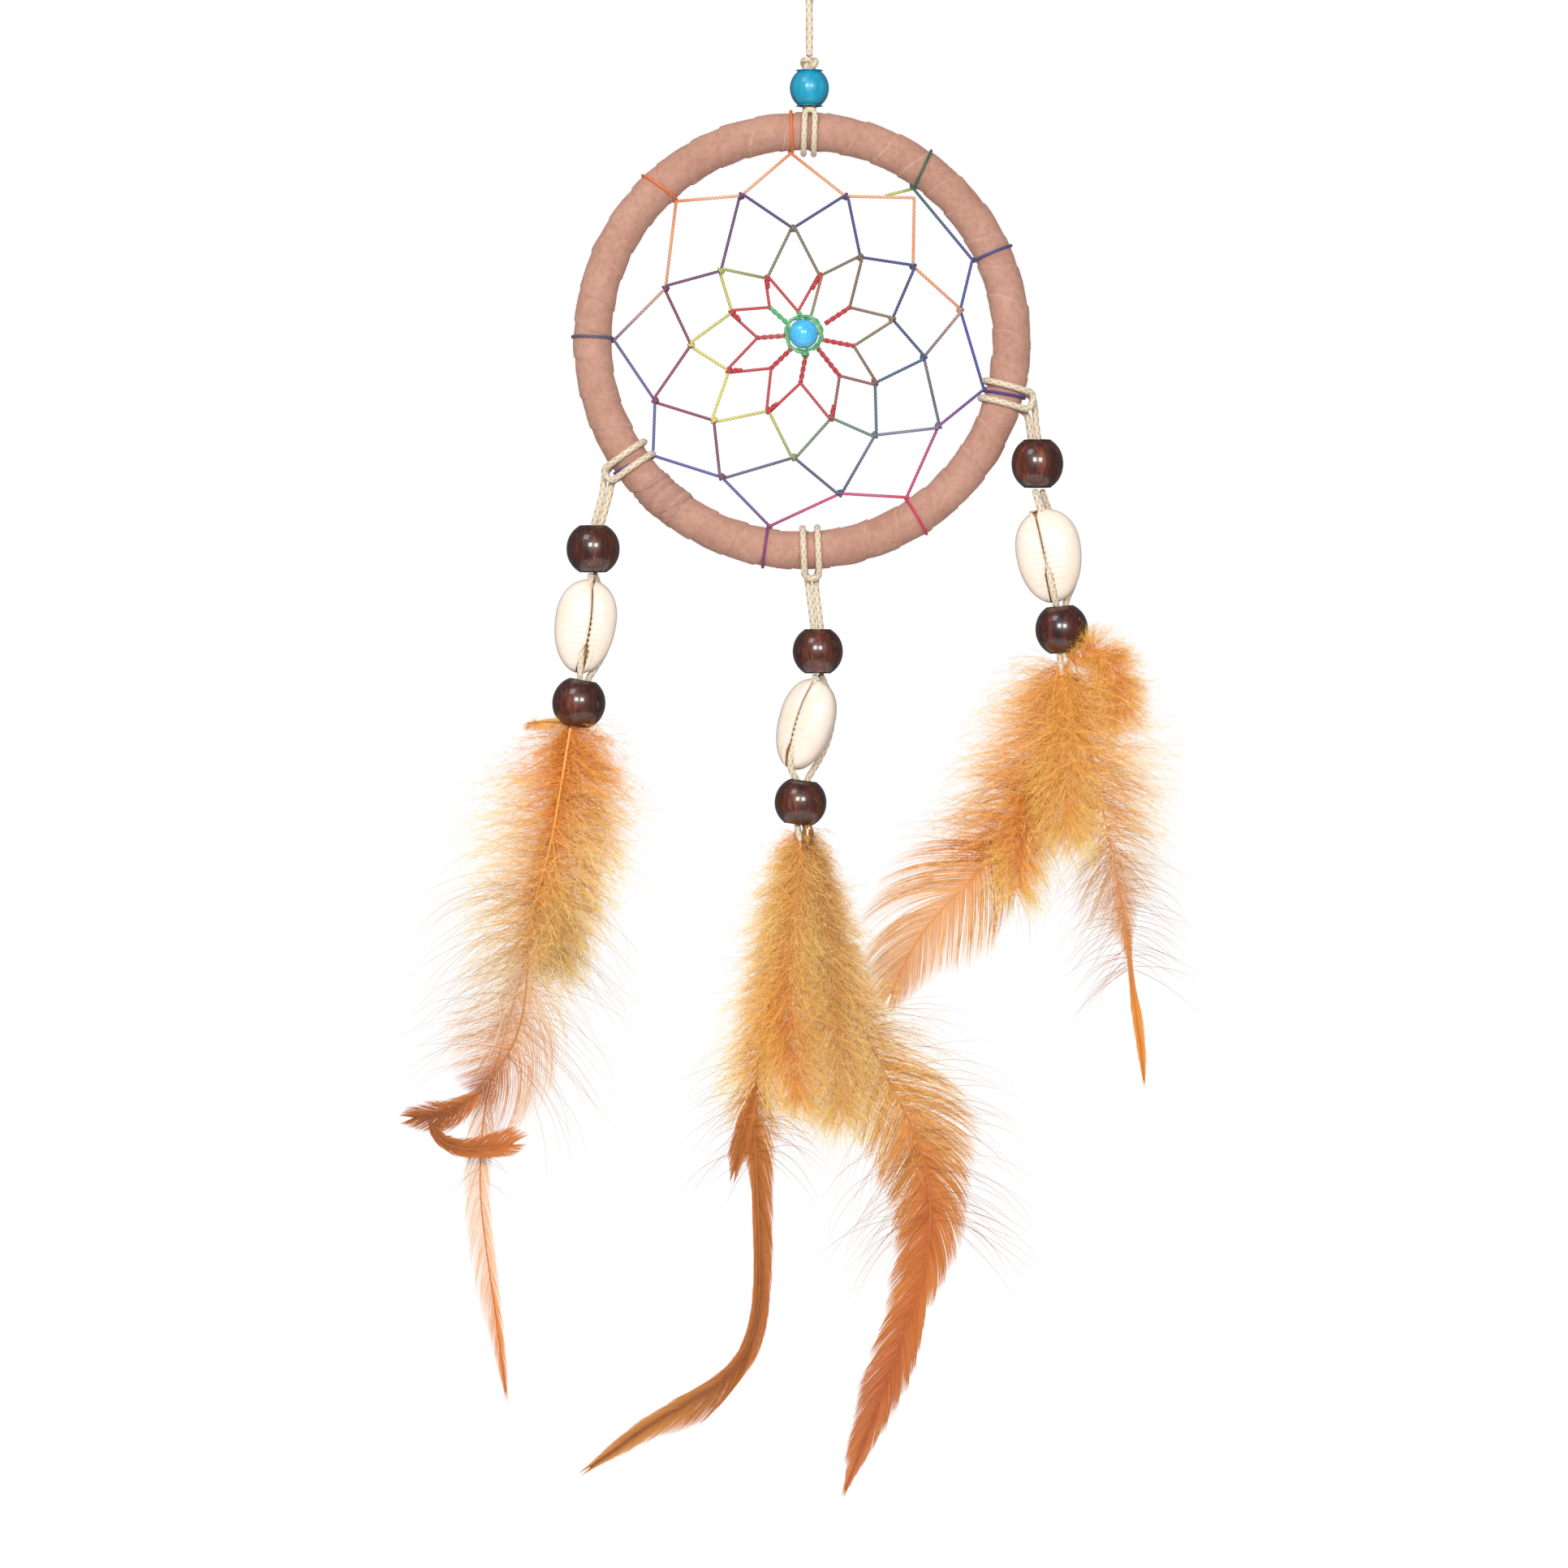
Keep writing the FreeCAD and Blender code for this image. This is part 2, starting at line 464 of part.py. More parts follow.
def flat_pad(node, outline, thickness_cell, middle_plane, lean):
    """A closed outline seen from the front, padded equally forward and back, then leant back from its top."""
    body = doc.addObject("PartDesign::Body", f"{node}_body")
    plane = next(f for f in body.Origin.OriginFeatures if f.Role == "XZ_Plane")
    sketch = body.newObject("Sketcher::SketchObject", f"{node}_outline")
    sketch.AttachmentSupport = (plane, [""])
    sketch.MapMode = "FlatFace"
    top_x, top_z = outline[0]
    corners = [Vector(x - top_x, z - top_z, 0) for x, z in outline]
    sketch.addGeometry([Part.LineSegment(a, b) for a, b in zip(corners, corners[1:] + corners[:1])], False)
    pad = body.newObject("PartDesign::Pad", f"{node}_pad")
    pad.Profile = sketch
    pad.SideType = "Symmetric"
    bind(pad, Length=f"Sizes.{thickness_cell}")
    body.Placement = Placement(Vector(top_x, middle_plane, top_z), Rotation(Vector(1, 0, 0), lean))
    return keep(body, node)


# ---- the object, from the top down

keep(cord_tube(HANGING_CORD, "hanging_cord", "cord_radius"), "hanging_cord")
knot = doc.addObject("Part::Ellipsoid", "knot")
bind(knot, Radius1="Sizes.top_knot_height / 2", Radius2="Sizes.top_knot_width / 2",
     Radius3="Sizes.top_knot_width / 2")
knot.Angle1, knot.Angle2, knot.Angle3 = -90, 90, 360
knot.Placement = tilt(TOP_KNOT_CENTRE, 0)
keep(knot, "top_knot")
turned_bead("blue_bead", TOP_BEAD_CENTRE, "top_bead_width", "top_bead_height", "top_bead_bore",
            "top_bead_corner")

build_hoop()
build_web()

for name, (angle, spread, leg, first_end, second_end) in HITCHES.items():
    radius_cell = "top_cord_radius" if name == "top" else "cord_radius"
    hitch = cord_tube(hitch_route(angle, spread, leg, first_end, second_end), f"{name}_hitch", radius_cell)
    keep(hitch, f"{name}_hitch_cord")

for name, pieces in PENDANTS.items():
    upper = doc.addObject("Part::Compound", f"{name}_upper")
    upper.Links = [cord_tube(points, f"{name}_upper_{i}", "cord_radius")
                   for i, points in enumerate(STRANDS[name]["upper"])]
    keep(upper, f"{name}_upper_cords")
    for place in ("upper_bead", "lower_bead"):
        centre, width, height, degrees = pieces[place]
        turned_bead(f"{name}_{place}", centre, width, height, "bead_bore", "bead_corner", degrees)
    cowrie(f"{name}_shell", *pieces["shell"])
    for place in ("front", "back"):
        tube = cord_tube(STRANDS[name][place], f"{name}_{place}", "cord_radius")
        keep(tube, f"{name}_{place}_cord")

for node, (outline, thickness_cell, middle_plane, lean) in FEATHERS.items():
    flat_pad(node, outline, thickness_cell, middle_plane, lean)

doc.recompute()

for obj in doc.Objects:
    if "Invalid" in obj.State or "Error" in obj.State:
        raise RuntimeError(f"{obj.Name} failed to recompute: {obj.State}")
for obj in subparts:
    if obj.Shape.isNull() or not obj.Shape.isValid() or obj.Shape.Volume <= 0:
        raise RuntimeError(f"{obj.Label} has no valid shape")

os.makedirs("parts", exist_ok=True)
for obj in subparts:
    obj.Shape.exportStep(f"parts/{obj.Label}.step")
print(f"{len(subparts)} nodes written")
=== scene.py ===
"""Dream catcher: a suede-wrapped hoop with a knotted web and three pendants of beads, shells and feathers.

Everything is in metres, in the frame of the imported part: +Z is up, +X is right and the hoop's front faces -Y.
Each sub-assembly is a class that builds its own meshes, dresses them and fixes them to their bodies.
"""
import logging
import math
from dataclasses import dataclass, field
from enum import Enum
from functools import cache
from typing import Iterable, Sequence

import bpy
import numpy as np
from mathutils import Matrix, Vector


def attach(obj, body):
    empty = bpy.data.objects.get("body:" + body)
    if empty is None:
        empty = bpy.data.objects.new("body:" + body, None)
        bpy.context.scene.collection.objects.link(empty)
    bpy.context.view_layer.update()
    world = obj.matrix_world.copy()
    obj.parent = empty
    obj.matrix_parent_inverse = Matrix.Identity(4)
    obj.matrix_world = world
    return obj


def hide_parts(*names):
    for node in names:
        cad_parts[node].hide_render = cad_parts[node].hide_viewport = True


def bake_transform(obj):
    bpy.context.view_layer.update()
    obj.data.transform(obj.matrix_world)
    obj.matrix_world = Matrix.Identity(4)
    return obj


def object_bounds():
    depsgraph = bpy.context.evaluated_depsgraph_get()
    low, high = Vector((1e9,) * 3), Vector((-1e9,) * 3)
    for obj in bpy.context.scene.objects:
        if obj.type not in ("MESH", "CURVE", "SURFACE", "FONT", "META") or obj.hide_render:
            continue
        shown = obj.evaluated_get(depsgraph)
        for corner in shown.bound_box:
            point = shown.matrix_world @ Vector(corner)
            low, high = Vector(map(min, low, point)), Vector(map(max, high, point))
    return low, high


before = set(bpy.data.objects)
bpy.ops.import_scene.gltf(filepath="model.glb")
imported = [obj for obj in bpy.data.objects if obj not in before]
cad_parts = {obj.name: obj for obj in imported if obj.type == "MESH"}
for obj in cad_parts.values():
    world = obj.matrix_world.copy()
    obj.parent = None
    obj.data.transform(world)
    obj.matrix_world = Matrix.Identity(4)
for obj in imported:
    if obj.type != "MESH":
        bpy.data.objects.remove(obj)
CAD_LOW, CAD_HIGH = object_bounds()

LOG = logging.getLogger("dream_catcher")

MM = 0.001
HOOP_CENTRE = np.array((-0.0014, 0.0, -0.0912))
RING_RADIUS = 0.0413
BAND_RADIUS = 0.0037
FRONT = np.array((0.0, -1.0, 0.0))

Point = tuple[float, float, float]
Colour = tuple[int, int, int]
Array = np.ndarray
Node, Socket = bpy.types.Node, bpy.types.NodeSocket
Thing = bpy.types.Object


class Side(Enum):
    """The two sides of a feather's shaft, as seen from the front."""

    LEFT = -1.0
    RIGHT = 1.0


class Ends(Enum):
    """What a cord's far end does."""

    INTO_OBJECT = "object"
    CUT = "bare"


# ---- colours and small numeric helpers


def linear(colour: Sequence[float]) -> Array:
    """Turn a display colour into linear light.

    Args:
        colour: red, green and blue from 0 to 255.

    Returns:
        The same colour as linear red, green and blue.
    """
    share = np.asarray(colour, float) / 255.0
    return np.where(share <= 0.04045, share / 12.92, ((share + 0.055) / 1.055) ** 2.4)


def paint(colour: Sequence[float]) -> tuple[float, float, float, float]:
    """Give a display colour as a shader socket's four linear numbers."""
    return (*linear(colour).tolist(), 1.0)


def metres(route: Sequence[Point]) -> list[Point]:
    """Turn points in millimetres into metres."""
    return [tuple(c * MM for c in point) for point in route]


def unit(vectors: Array) -> Array:
    """Scale vectors in the last axis to length one."""
    return vectors / np.maximum(np.linalg.norm(vectors, axis=-1, keepdims=True), 1e-12)


def ripple(values: Array, seed: int, waves: int = 5) -> Array:
    """Smooth repeatable unevenness along one coordinate.

    Args:
        values: where to read it, in units of about one bump.
        seed: picks one of many patterns.
        waves: how many sine waves are added.

    Returns:
        Numbers about zero, mostly within one.
    """
    rng = np.random.default_rng(seed)
    total = np.zeros_like(np.asarray(values, float))
    for _ in range(waves):
        total += np.sin(values * rng.uniform(0.6, 3.4) + rng.uniform(0, 6.28)) * rng.uniform(0.4, 1.0)
    return total / (0.75 * waves)


def arc_lengths(path: Array) -> Array:
    """Distance along a path to each of its points."""
    return np.concatenate(([0.0], np.cumsum(np.linalg.norm(np.diff(path, axis=0), axis=1))))


def blended(places: Array, stops: Sequence[float], rows: Array) -> Array:
    """Read a table of three-number rows at places between its stops."""
    return np.stack([np.interp(places, stops, rows[:, axis]) for axis in range(3)], axis=-1)


def evenly(path: Array, step: float) -> Array:
    """Read a path again at even distances.

    Args:
        path: the points of the path.
        step: the wanted distance between points.

    Returns:
        Points from its start to its end, about one step apart.
    """
    along = arc_lengths(path)
    stops = np.linspace(0, along[-1], max(2, int(round(along[-1] / step)) + 1))
    return blended(stops, along, path)


def circle(count: int) -> Array:
    """Angles evenly round a full turn, in radians."""
    return np.linspace(0, math.tau, count, endpoint=False)


def spline_line(route: Sequence[Sequence[float]], steps: int = 24) -> Array:
    """Read the smooth line of a curve that has the route as its control points.

    Args:
        route: the control points, in metres.
        steps: points read per control point.

    Returns:
        The line's points, in order.
    """
    curve = bpy.data.curves.new("route", "CURVE")
    curve.dimensions = "3D"
    spline = curve.splines.new("NURBS")
    spline.points.add(len(route) - 1)
    for point, place in zip(spline.points, route):
        point.co = (*place, 1.0)
    spline.order_u = 3
    spline.use_endpoint_u = True
    spline.resolution_u = steps
    carrier = bpy.data.objects.new("route", curve)
    line = bpy.data.meshes.new_from_object(carrier)
    points = np.array([vertex.co for vertex in line.vertices], float)
    bpy.data.meshes.remove(line)
    bpy.data.objects.remove(carrier)
    bpy.data.curves.remove(curve)
    return points


def travel_frames(path: Array) -> tuple[Array, Array]:
    """Two side directions at each point of a path that never spin about it."""
    tangents = unit(np.gradient(path, axis=0))
    side = np.cross(tangents[0], (0.0, 1.0, 0.0))
    if np.linalg.norm(side) < 0.2:
        side = np.cross(tangents[0], (1.0, 0.0, 0.0))
    sides = np.zeros_like(path)
    for index, tangent in enumerate(tangents):
        side = side - tangent * (side @ tangent)
        side = side / np.linalg.norm(side)
        sides[index] = side
    return sides, np.cross(tangents, sides)


def skin(path: Array, reach: Array, turn: Array) -> Array:
    """Points round a path.

    Args:
        path: the points of the path.
        reach: their distances from it, one row per point of the path.
        turn: their angles about it, in radians.

    Returns:
        One row of points per point of the path.
    """
    first, second = travel_frames(path)
    return (path[:, None, :] + first[:, None, :] * (reach * np.cos(turn))[..., None]
            + second[:, None, :] * (reach * np.sin(turn))[..., None])


# ---- meshes


def grid_faces(rows: int, columns: int, wrap: bool = True, wrap_rows: bool = False) -> Array:
    """Quads of a grid of points numbered row by row.

    Args:
        rows: points along.
        columns: points around.
        wrap: whether the last column joins the first.
        wrap_rows: whether the last row joins the first.

    Returns:
        One row of four point numbers per quad.
    """
    row = np.arange(rows if wrap_rows else rows - 1)[:, None]
    column = np.arange(columns if wrap else columns - 1)[None, :]
    ahead, beside = (row + 1) % rows, (column + 1) % columns
    corners = [row * columns + column, row * columns + beside, ahead * columns + beside, ahead * columns + column]
    return np.stack([np.broadcast_to(c, (row.size, column.size)) for c in corners], axis=-1).reshape(-1, 4)


def tube_faces(rows: int, columns: int) -> list[Array]:
    """Quads and end caps of a tube whose points are numbered row by row."""
    cap = np.arange(columns)[None, :]
    return [grid_faces(rows, columns), cap[:, ::-1], cap + (rows - 1) * columns]


@dataclass
class MeshParts:
    """Points, faces and per-point values gathered for one piece."""

    points: list[Array] = field(default_factory=list)
    faces: list[Array] = field(default_factory=list)
    values: dict[str, list[Array]] = field(default_factory=dict)
    count: int = 0

    def add(self, points: Array, faces: Iterable[Array], **values: Array) -> "MeshParts":
        """Append one part.

        Args:
            points: its points, in metres.
            faces: arrays of point numbers, counted from its own first point.
            values: per-point numbers or colours, by attribute name.

        Returns:
            These parts, with the new one.
        """
        flat = points.reshape(-1, 3)
        self.points.append(flat)
        self.faces.extend(np.asarray(f) + self.count for f in faces)
        for name, value in values.items():
            self.values.setdefault(name, []).append(np.asarray(value, float).reshape(len(flat), -1))
        self.count += len(flat)
        return self

    def join(self, other: "MeshParts") -> None:
        """Append other parts that carry the same values."""
        values = {name: np.concatenate(value) for name, value in other.values.items()}
        self.add(np.concatenate(other.points), other.faces, **values)

    def build(self, name: str, finish: "Finish", smooth: bool = True) -> Thing:
        """Make the Blender object.

        Args:
            name: the piece's name.
            finish: its finish.
            smooth: whether its faces are shaded smooth.

        Returns:
            The new object, in the scene and at the origin.
        """
        material = finish.material()
        points = np.concatenate(self.points)
        corner_counts = np.concatenate([np.full(len(f), f.shape[1]) for f in self.faces])
        corners = np.concatenate([f.reshape(-1) for f in self.faces])
        mesh = bpy.data.meshes.new(name)
        mesh.vertices.add(len(points))
        mesh.vertices.foreach_set("co", points.astype(np.float32).ravel())
        mesh.loops.add(len(corners))
        mesh.loops.foreach_set("vertex_index", corners.astype(np.int32))
        mesh.polygons.add(len(corner_counts))
        starts = np.concatenate(([0], np.cumsum(corner_counts)[:-1]))
        mesh.polygons.foreach_set("loop_start", starts.astype(np.int32))
        mesh.polygons.foreach_set("use_smooth", np.full(len(corner_counts), smooth))
        for key, parts in self.values.items():
            value, field_name = np.concatenate(parts), "value"
            if value.shape[1] == 3:
                value, field_name = np.concatenate([value, np.ones((len(value), 1))], axis=1), "color"
                layer = mesh.color_attributes.new(name=key, type="FLOAT_COLOR", domain="POINT")
            else:
                layer = mesh.attributes.new(name=key, type="FLOAT", domain="POINT")
            layer.data.foreach_set(field_name, value.astype(np.float32).ravel())
        mesh.update(calc_edges=True)
        mesh.validate()
        mesh.materials.append(material)
        piece = bpy.data.objects.new(name, mesh)
        bpy.context.scene.collection.objects.link(piece)
        return piece


def fix(piece: Thing, body: str, nodes: Sequence[str] = ()) -> Thing:
    """Fix a finished piece to its body and hide the CAD nodes it replaces.

    Args:
        piece: the object.
        body: the body it moves with.
        nodes: the CAD nodes it replaces.

    Returns:
        The same object.
    """
    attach(piece, body)
    if nodes:
        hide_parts(*nodes)
    LOG.info("%s rides on %s with %d faces", piece.name, body, len(piece.data.polygons))
    return piece


# ---- finishes


@dataclass
class NodeBoard:
    """Places nodes on a tree and joins them."""

    tree: bpy.types.NodeTree

    def put(self, kind: str, settings: dict | None = None, **sockets: object) -> Node:
        """Add a node.

        Args:
            kind: the node's type, without its ShaderNode prefix.
            settings: properties of the node itself.
            sockets: its inputs, as for feed.

        Returns:
            The node.
        """
        node = self.tree.nodes.new(f"ShaderNode{kind}")
        for key, value in (settings or {}).items():
            setattr(node, key, value)
        return self.feed(node, **sockets)

    def feed(self, node: Node, **sockets: object) -> Node:
        """Set a node's inputs.

        Args:
            node: the node.
            sockets: values or output sockets, by socket name with _ for a space, or by in0, in1 and so on.

        Returns:
            The same node.
        """
        for key, value in sockets.items():
            numbered = key[:2] == "in" and key[2:].isdigit()
            target = node.inputs[int(key[2:]) if numbered else key.replace("_", " ")]
            if isinstance(value, Socket):
                self.tree.links.new(value, target)
            else:
                target.default_value = value
        return node

    def ramp(self, source: Socket, *stops: tuple[float, Colour]) -> Socket:
        """Turn a number into a colour through a ramp of display colours."""
        node = self.put("ValToRGB", in0=source)
        elements = node.color_ramp.elements
        while len(elements) < len(stops):
            elements.new(0.5)
        for element, (place, colour) in zip(elements, stops):
            element.position = place
            element.color = paint(colour)
        return node.outputs["Color"]

    def sums(self, operation: str, first: object, second: object, clamp: bool = False) -> Socket:
        """Combine two numbers with a math node."""
        return self.put("Math", {"operation": operation, "use_clamp": clamp}, in0=first, in1=second).outputs[0]

    def times(self, first: object, second: object, clamp: bool = False) -> Socket:
        """Multiply two numbers."""
        return self.sums("MULTIPLY", first, second, clamp)

    def plus(self, first: object, second: object, clamp: bool = False) -> Socket:
        """Add two numbers."""
        return self.sums("ADD", first, second, clamp)

    def mix(self, share: Socket, first: Socket, second: Sequence[float]) -> Socket:
        """Mix a colour with a display colour."""
        return self.put("Mix", {"data_type": "RGBA"}, in0=share, in6=first, in7=paint(second)).outputs[2]

    def noise(self, place: Socket, scale: object, detail: float, roughness: float, distortion: float = 0.0) -> Socket:
        """Read a noise as a number."""
        return self.put("TexNoise", Vector=place, Scale=scale, Detail=detail, Roughness=roughness,
                        Distortion=distortion).outputs[0]


def start_effect(name: str, values: dict[str, float], *outputs: str) -> tuple[NodeBoard, Sequence[Socket], Node]:
    """Start a node group that reads a Position and named numbers.

    Args:
        name: the group's name.
        values: its number inputs, with the values they start with.
        outputs: names of its number outputs.

    Returns:
        The group's board, its inputs by name and its output node.
    """
    tree = bpy.data.node_groups.new(name, "ShaderNodeTree")
    tree.interface.new_socket(name="Position", in_out="INPUT", socket_type="NodeSocketVector")
    for label, value in values.items():
        made = tree.interface.new_socket(name=label, in_out="INPUT", socket_type="NodeSocketFloat")
        made.default_value = value
    for label in outputs:
        tree.interface.new_socket(name=label, in_out="OUTPUT", socket_type="NodeSocketFloat")
    enter, leave = tree.nodes.new("NodeGroupInput"), tree.nodes.new("NodeGroupOutput")
    return NodeBoard(tree), enter.outputs, leave


@cache
def fibre_effect() -> bpy.types.NodeTree:
    """Fine uneven fibres: a coarse and a fine noise, as a shade from 0 to 1 and a height."""
    board, read, leave = start_effect("fibres", {"Scale": 1000, "Contrast": 1}, "Shade", "Height")
    coarse = board.noise(read["Position"], read["Scale"], 3.0, 0.6)
    fine = board.noise(read["Position"], board.times(read["Scale"], 5.3), 2.0, 0.7)
    both = board.plus(board.times(coarse, 0.55), board.times(fine, 0.45))
    centred = board.times(board.sums("SUBTRACT", both, 0.5), read["Contrast"])
    board.feed(leave, Shade=board.plus(centred, 0.5, clamp=True), Height=both)
    return board.tree


@cache
def grain_effect() -> bpy.types.NodeTree:
    """Wood grain along Z: drawn-out dark pores and bands, as a shade from 0 to 1 and a height."""
    board, read, leave = start_effect("grain", {"Scale": 900, "Draw": 0.12}, "Shade", "Height")
    stretch = board.put("CombineXYZ", X=1.0, Y=1.0, Z=read["Draw"]).outputs[0]
    place = board.put("VectorMath", {"operation": "MULTIPLY"}, in0=read["Position"], in1=stretch).outputs[0]
    pores = board.noise(place, read["Scale"], 4.0, 0.65, 0.4)
    bands = board.noise(place, board.times(read["Scale"], 0.22), 2.0, 0.5)
    both = board.plus(board.times(pores, 0.5), board.times(bands, 0.5))
    board.feed(leave, Shade=board.times(board.sums("SUBTRACT", both, 0.3), 2.5, clamp=True), Height=pores)
    return board.tree


@cache
def speck_effect() -> bpy.types.NodeTree:
    """Sparse small specks of dust and handling wear, as a mask from 0 to 1."""
    board, read, leave = start_effect("specks", {"Scale": 900, "Amount": 0.3}, "Mask")
    spots = board.noise(read["Position"], read["Scale"], 2.0, 0.8)
    above = board.sums("SUBTRACT", spots, board.sums("SUBTRACT", 0.9, read["Amount"]))
    board.feed(leave, Mask=board.times(above, 8.0, clamp=True))
    return board.tree


@dataclass
class FinishBoard(NodeBoard):
    """A material's board, with its shader and the place on the object."""

    shader: Node
    place: Socket

    def effect(self, group: bpy.types.NodeTree, **values: float) -> Sequence[Socket]:
        """Place a shared effect with its own values and give its outputs."""
        return self.put("Group", {"node_tree": group}, Position=self.place, **values).outputs

    def fibres(self, scale: float, contrast: float) -> Sequence[Socket]:
        """Place the fibres."""
        return self.effect(fibre_effect(), Scale=scale, Contrast=contrast)

    def specks(self, scale: float, amount: float) -> Socket:
        """Place the specks and give their mask."""
        return self.effect(speck_effect(), Scale=scale, Amount=amount)["Mask"]

    def read(self, name: str, output: str = "Fac") -> Socket:
        """Read a per-point value or colour of the mesh."""
        return self.put("Attribute", {"attribute_name": name, "attribute_type": "GEOMETRY"}).outputs[output]

    def between(self, source: Socket, share: float, base: float) -> Socket:
        """Scale a number and add a base to it."""
        return self.plus(self.times(source, share), base)

    def dress(self, **sockets: object) -> None:
        """Set the shader's inputs."""
        self.feed(self.shader, **sockets)

    def bump(self, height: Socket, strength: float, distance: float) -> None:
        """Raise the surface by a height."""
        self.dress(Normal=self.put("Bump", Height=height, Strength=strength, Distance=distance).outputs[0])


@dataclass(frozen=True)
class Finish:
    """A named finish; each kind fills in its own shader."""

    name: str

    def material(self) -> bpy.types.Material:
        """Return the material, made on first use."""
        found = bpy.data.materials.get(self.name)
        if found:
            return found
        made = bpy.data.materials.new(self.name)
        made.use_nodes = True
        made.node_tree.nodes.clear()
        board = NodeBoard(made.node_tree)
        shader = board.put("BsdfPrincipled")
        output = board.put("OutputMaterial", Surface=shader.outputs[0])
        self.fill(FinishBoard(board.tree, shader, board.put("TexCoord").outputs["Object"]))
        output.is_active_output = True
        return made

    def fill(self, board: FinishBoard) -> None:
        """Feed the shader; the plain kind leaves it as it is."""


@dataclass(frozen=True)
class SuedeFinish(Finish):
    """Brushed suede with paler cut edges and, where glued, dull stains."""

    dark: Colour = (164, 117, 98)
    light: Colour = (201, 156, 138)
    edge: Colour = (232, 196, 178)
    stain: Colour = (152, 116, 110)

    def fill(self, board: FinishBoard) -> None:
        """Feed colour, sheen and nap."""
        nap, brushed = board.fibres(900, 2.2), board.fibres(110, 1.7)
        both = board.plus(board.times(nap["Shade"], 0.45), board.times(brushed["Shade"], 0.55))
        colour = board.ramp(both, (0.15, self.dark), (0.85, self.light))
        colour = board.mix(board.read("edge"), colour, self.edge)
        colour = board.mix(board.read("stain"), colour, self.stain)
        board.dress(Base_Color=colour, Roughness=0.92, Specular_IOR_Level=0.15, Sheen_Weight=0.12,
                    Sheen_Roughness=0.45, Sheen_Tint=paint((255, 225, 205)))
        board.bump(nap["Height"], 0.5, 0.0003)


@dataclass(frozen=True)
class CordFinish(Finish):
    """Waxed cotton cord: pale strands with painted shade in the valleys between them."""

    strand: Colour = (233, 218, 198)
    valley: Colour = (190, 168, 136)
    worn: Colour = (216, 196, 162)

    def fill(self, board: FinishBoard) -> None:
        """Feed colour with painted shade in the braid's valleys, wax gloss and fibres."""
        fibre = board.fibres(2200, 1.6)
        # painted shade: the colour darkens towards the valley colour in the dips between the strands
        colour = board.ramp(board.read("valley"), (0.1, self.strand), (0.95, self.valley))
        colour = board.mix(board.times(fibre["Shade"], 0.35), colour, self.worn)
        board.dress(Base_Color=colour, Roughness=board.between(fibre["Shade"], 0.25, 0.38), Sheen_Weight=0.1)
        board.bump(fibre["Height"], 0.35, 0.0001)


@dataclass(frozen=True)
class ThreadFinish(Finish):
    """Space-dyed twisted thread: its colour is painted along the mesh, with painted shade between the plies."""

    ply_shadow: Colour = (20, 14, 24)
    fuzz: Colour = (250, 244, 236)

    def fill(self, board: FinishBoard) -> None:
        """Feed the dyed colour and ply shadows."""
        fibre = board.fibres(3500, 1.5)
        # painted shade: the dark ply colour is mixed in where the plies dip
        colour = board.mix(board.times(board.read("valley"), 0.75), board.read("tint", "Color"), self.ply_shadow)
        colour = board.mix(board.times(fibre["Shade"], 0.07), colour, self.fuzz)
        board.dress(Base_Color=colour, Roughness=board.between(fibre["Shade"], 0.2, 0.42), Sheen_Weight=0.05)


@dataclass(frozen=True)
class WoodFinish(Finish):
    """Turned wood under stain and lacquer, or under paint, with painted shade on faces turned away from the camera and
    inside the hole.
    """

    dark: Colour = (36, 13, 9)
    middle: Colour = (84, 34, 18)
    bright: Colour = (150, 74, 28)
    turned_away_shade: Colour = (34, 12, 10)
    dust: Colour = (214, 186, 160)
    grain_scale: float = 1300.0
    lacquer: float = 1.0
    roughness: float = 0.32

    def fill(self, board: FinishBoard) -> None:
        """Feed grain, lacquer, small wear and painted shade."""
        grain = board.effect(grain_effect(), Scale=self.grain_scale, Draw=0.1)
        colour = board.ramp(grain["Shade"], (0.2, self.dark), (0.62, self.middle), (1.0, self.bright))
        # painted shade: faces that turn away from the camera are darkened
        colour = board.mix(board.put("LayerWeight", Blend=0.42).outputs["Facing"], colour, self.turned_away_shade)
        # painted shade inside the bead's hole, darker the deeper it lies
        colour = board.mix(board.read("rim"), colour, [c * 0.45 for c in self.dark])
        colour = board.mix(board.times(board.specks(1600, 0.26), 0.25), colour, self.dust)
        board.dress(Base_Color=colour, Roughness=board.between(grain["Shade"], 0.16, self.roughness),
                    Coat_Weight=self.lacquer, Coat_Roughness=0.13)
        board.bump(grain["Height"], 0.3, 0.00016)


@dataclass(frozen=True)
class GlassFinish(Finish):
    """Opaque glossy glass with faint cloudiness."""

    dark: Colour = (44, 164, 226)
    light: Colour = (100, 208, 250)

    def fill(self, board: FinishBoard) -> None:
        """Feed cloud and polish."""
        colour = board.ramp(board.fibres(420, 1.6)["Shade"], (0.2, self.dark), (0.8, self.light))
        board.dress(Base_Color=colour, Roughness=board.between(board.specks(2600, 0.24), 0.3, 0.12),
                    Coat_Weight=0.8, Coat_Roughness=0.03)


@dataclass(frozen=True)
class ShellFinish(Finish):
    """Polished cowrie: ivory, with a browner opening and faint growth clouds."""

    body: Colour = (242, 230, 218)
    cloud: Colour = (240, 218, 192)
    opening: Colour = (190, 152, 104)

    def fill(self, board: FinishBoard) -> None:
        """Feed colour, gloss and growth marks."""
        growth, fine = board.fibres(190, 2.0), board.fibres(1500, 1.2)
        colour = board.ramp(growth["Shade"], (0.2, self.body), (0.95, self.cloud))
        colour = board.mix(board.read("opening"), colour, self.opening)
        board.dress(Base_Color=colour, Roughness=board.between(fine["Shade"], 0.2, 0.16), Coat_Weight=0.5,
                    Coat_Roughness=0.08, Subsurface_Weight=0.15, Subsurface_Radius=(0.002, 0.0014, 0.0009))
        board.bump(fine["Height"], 0.12, 0.00008)


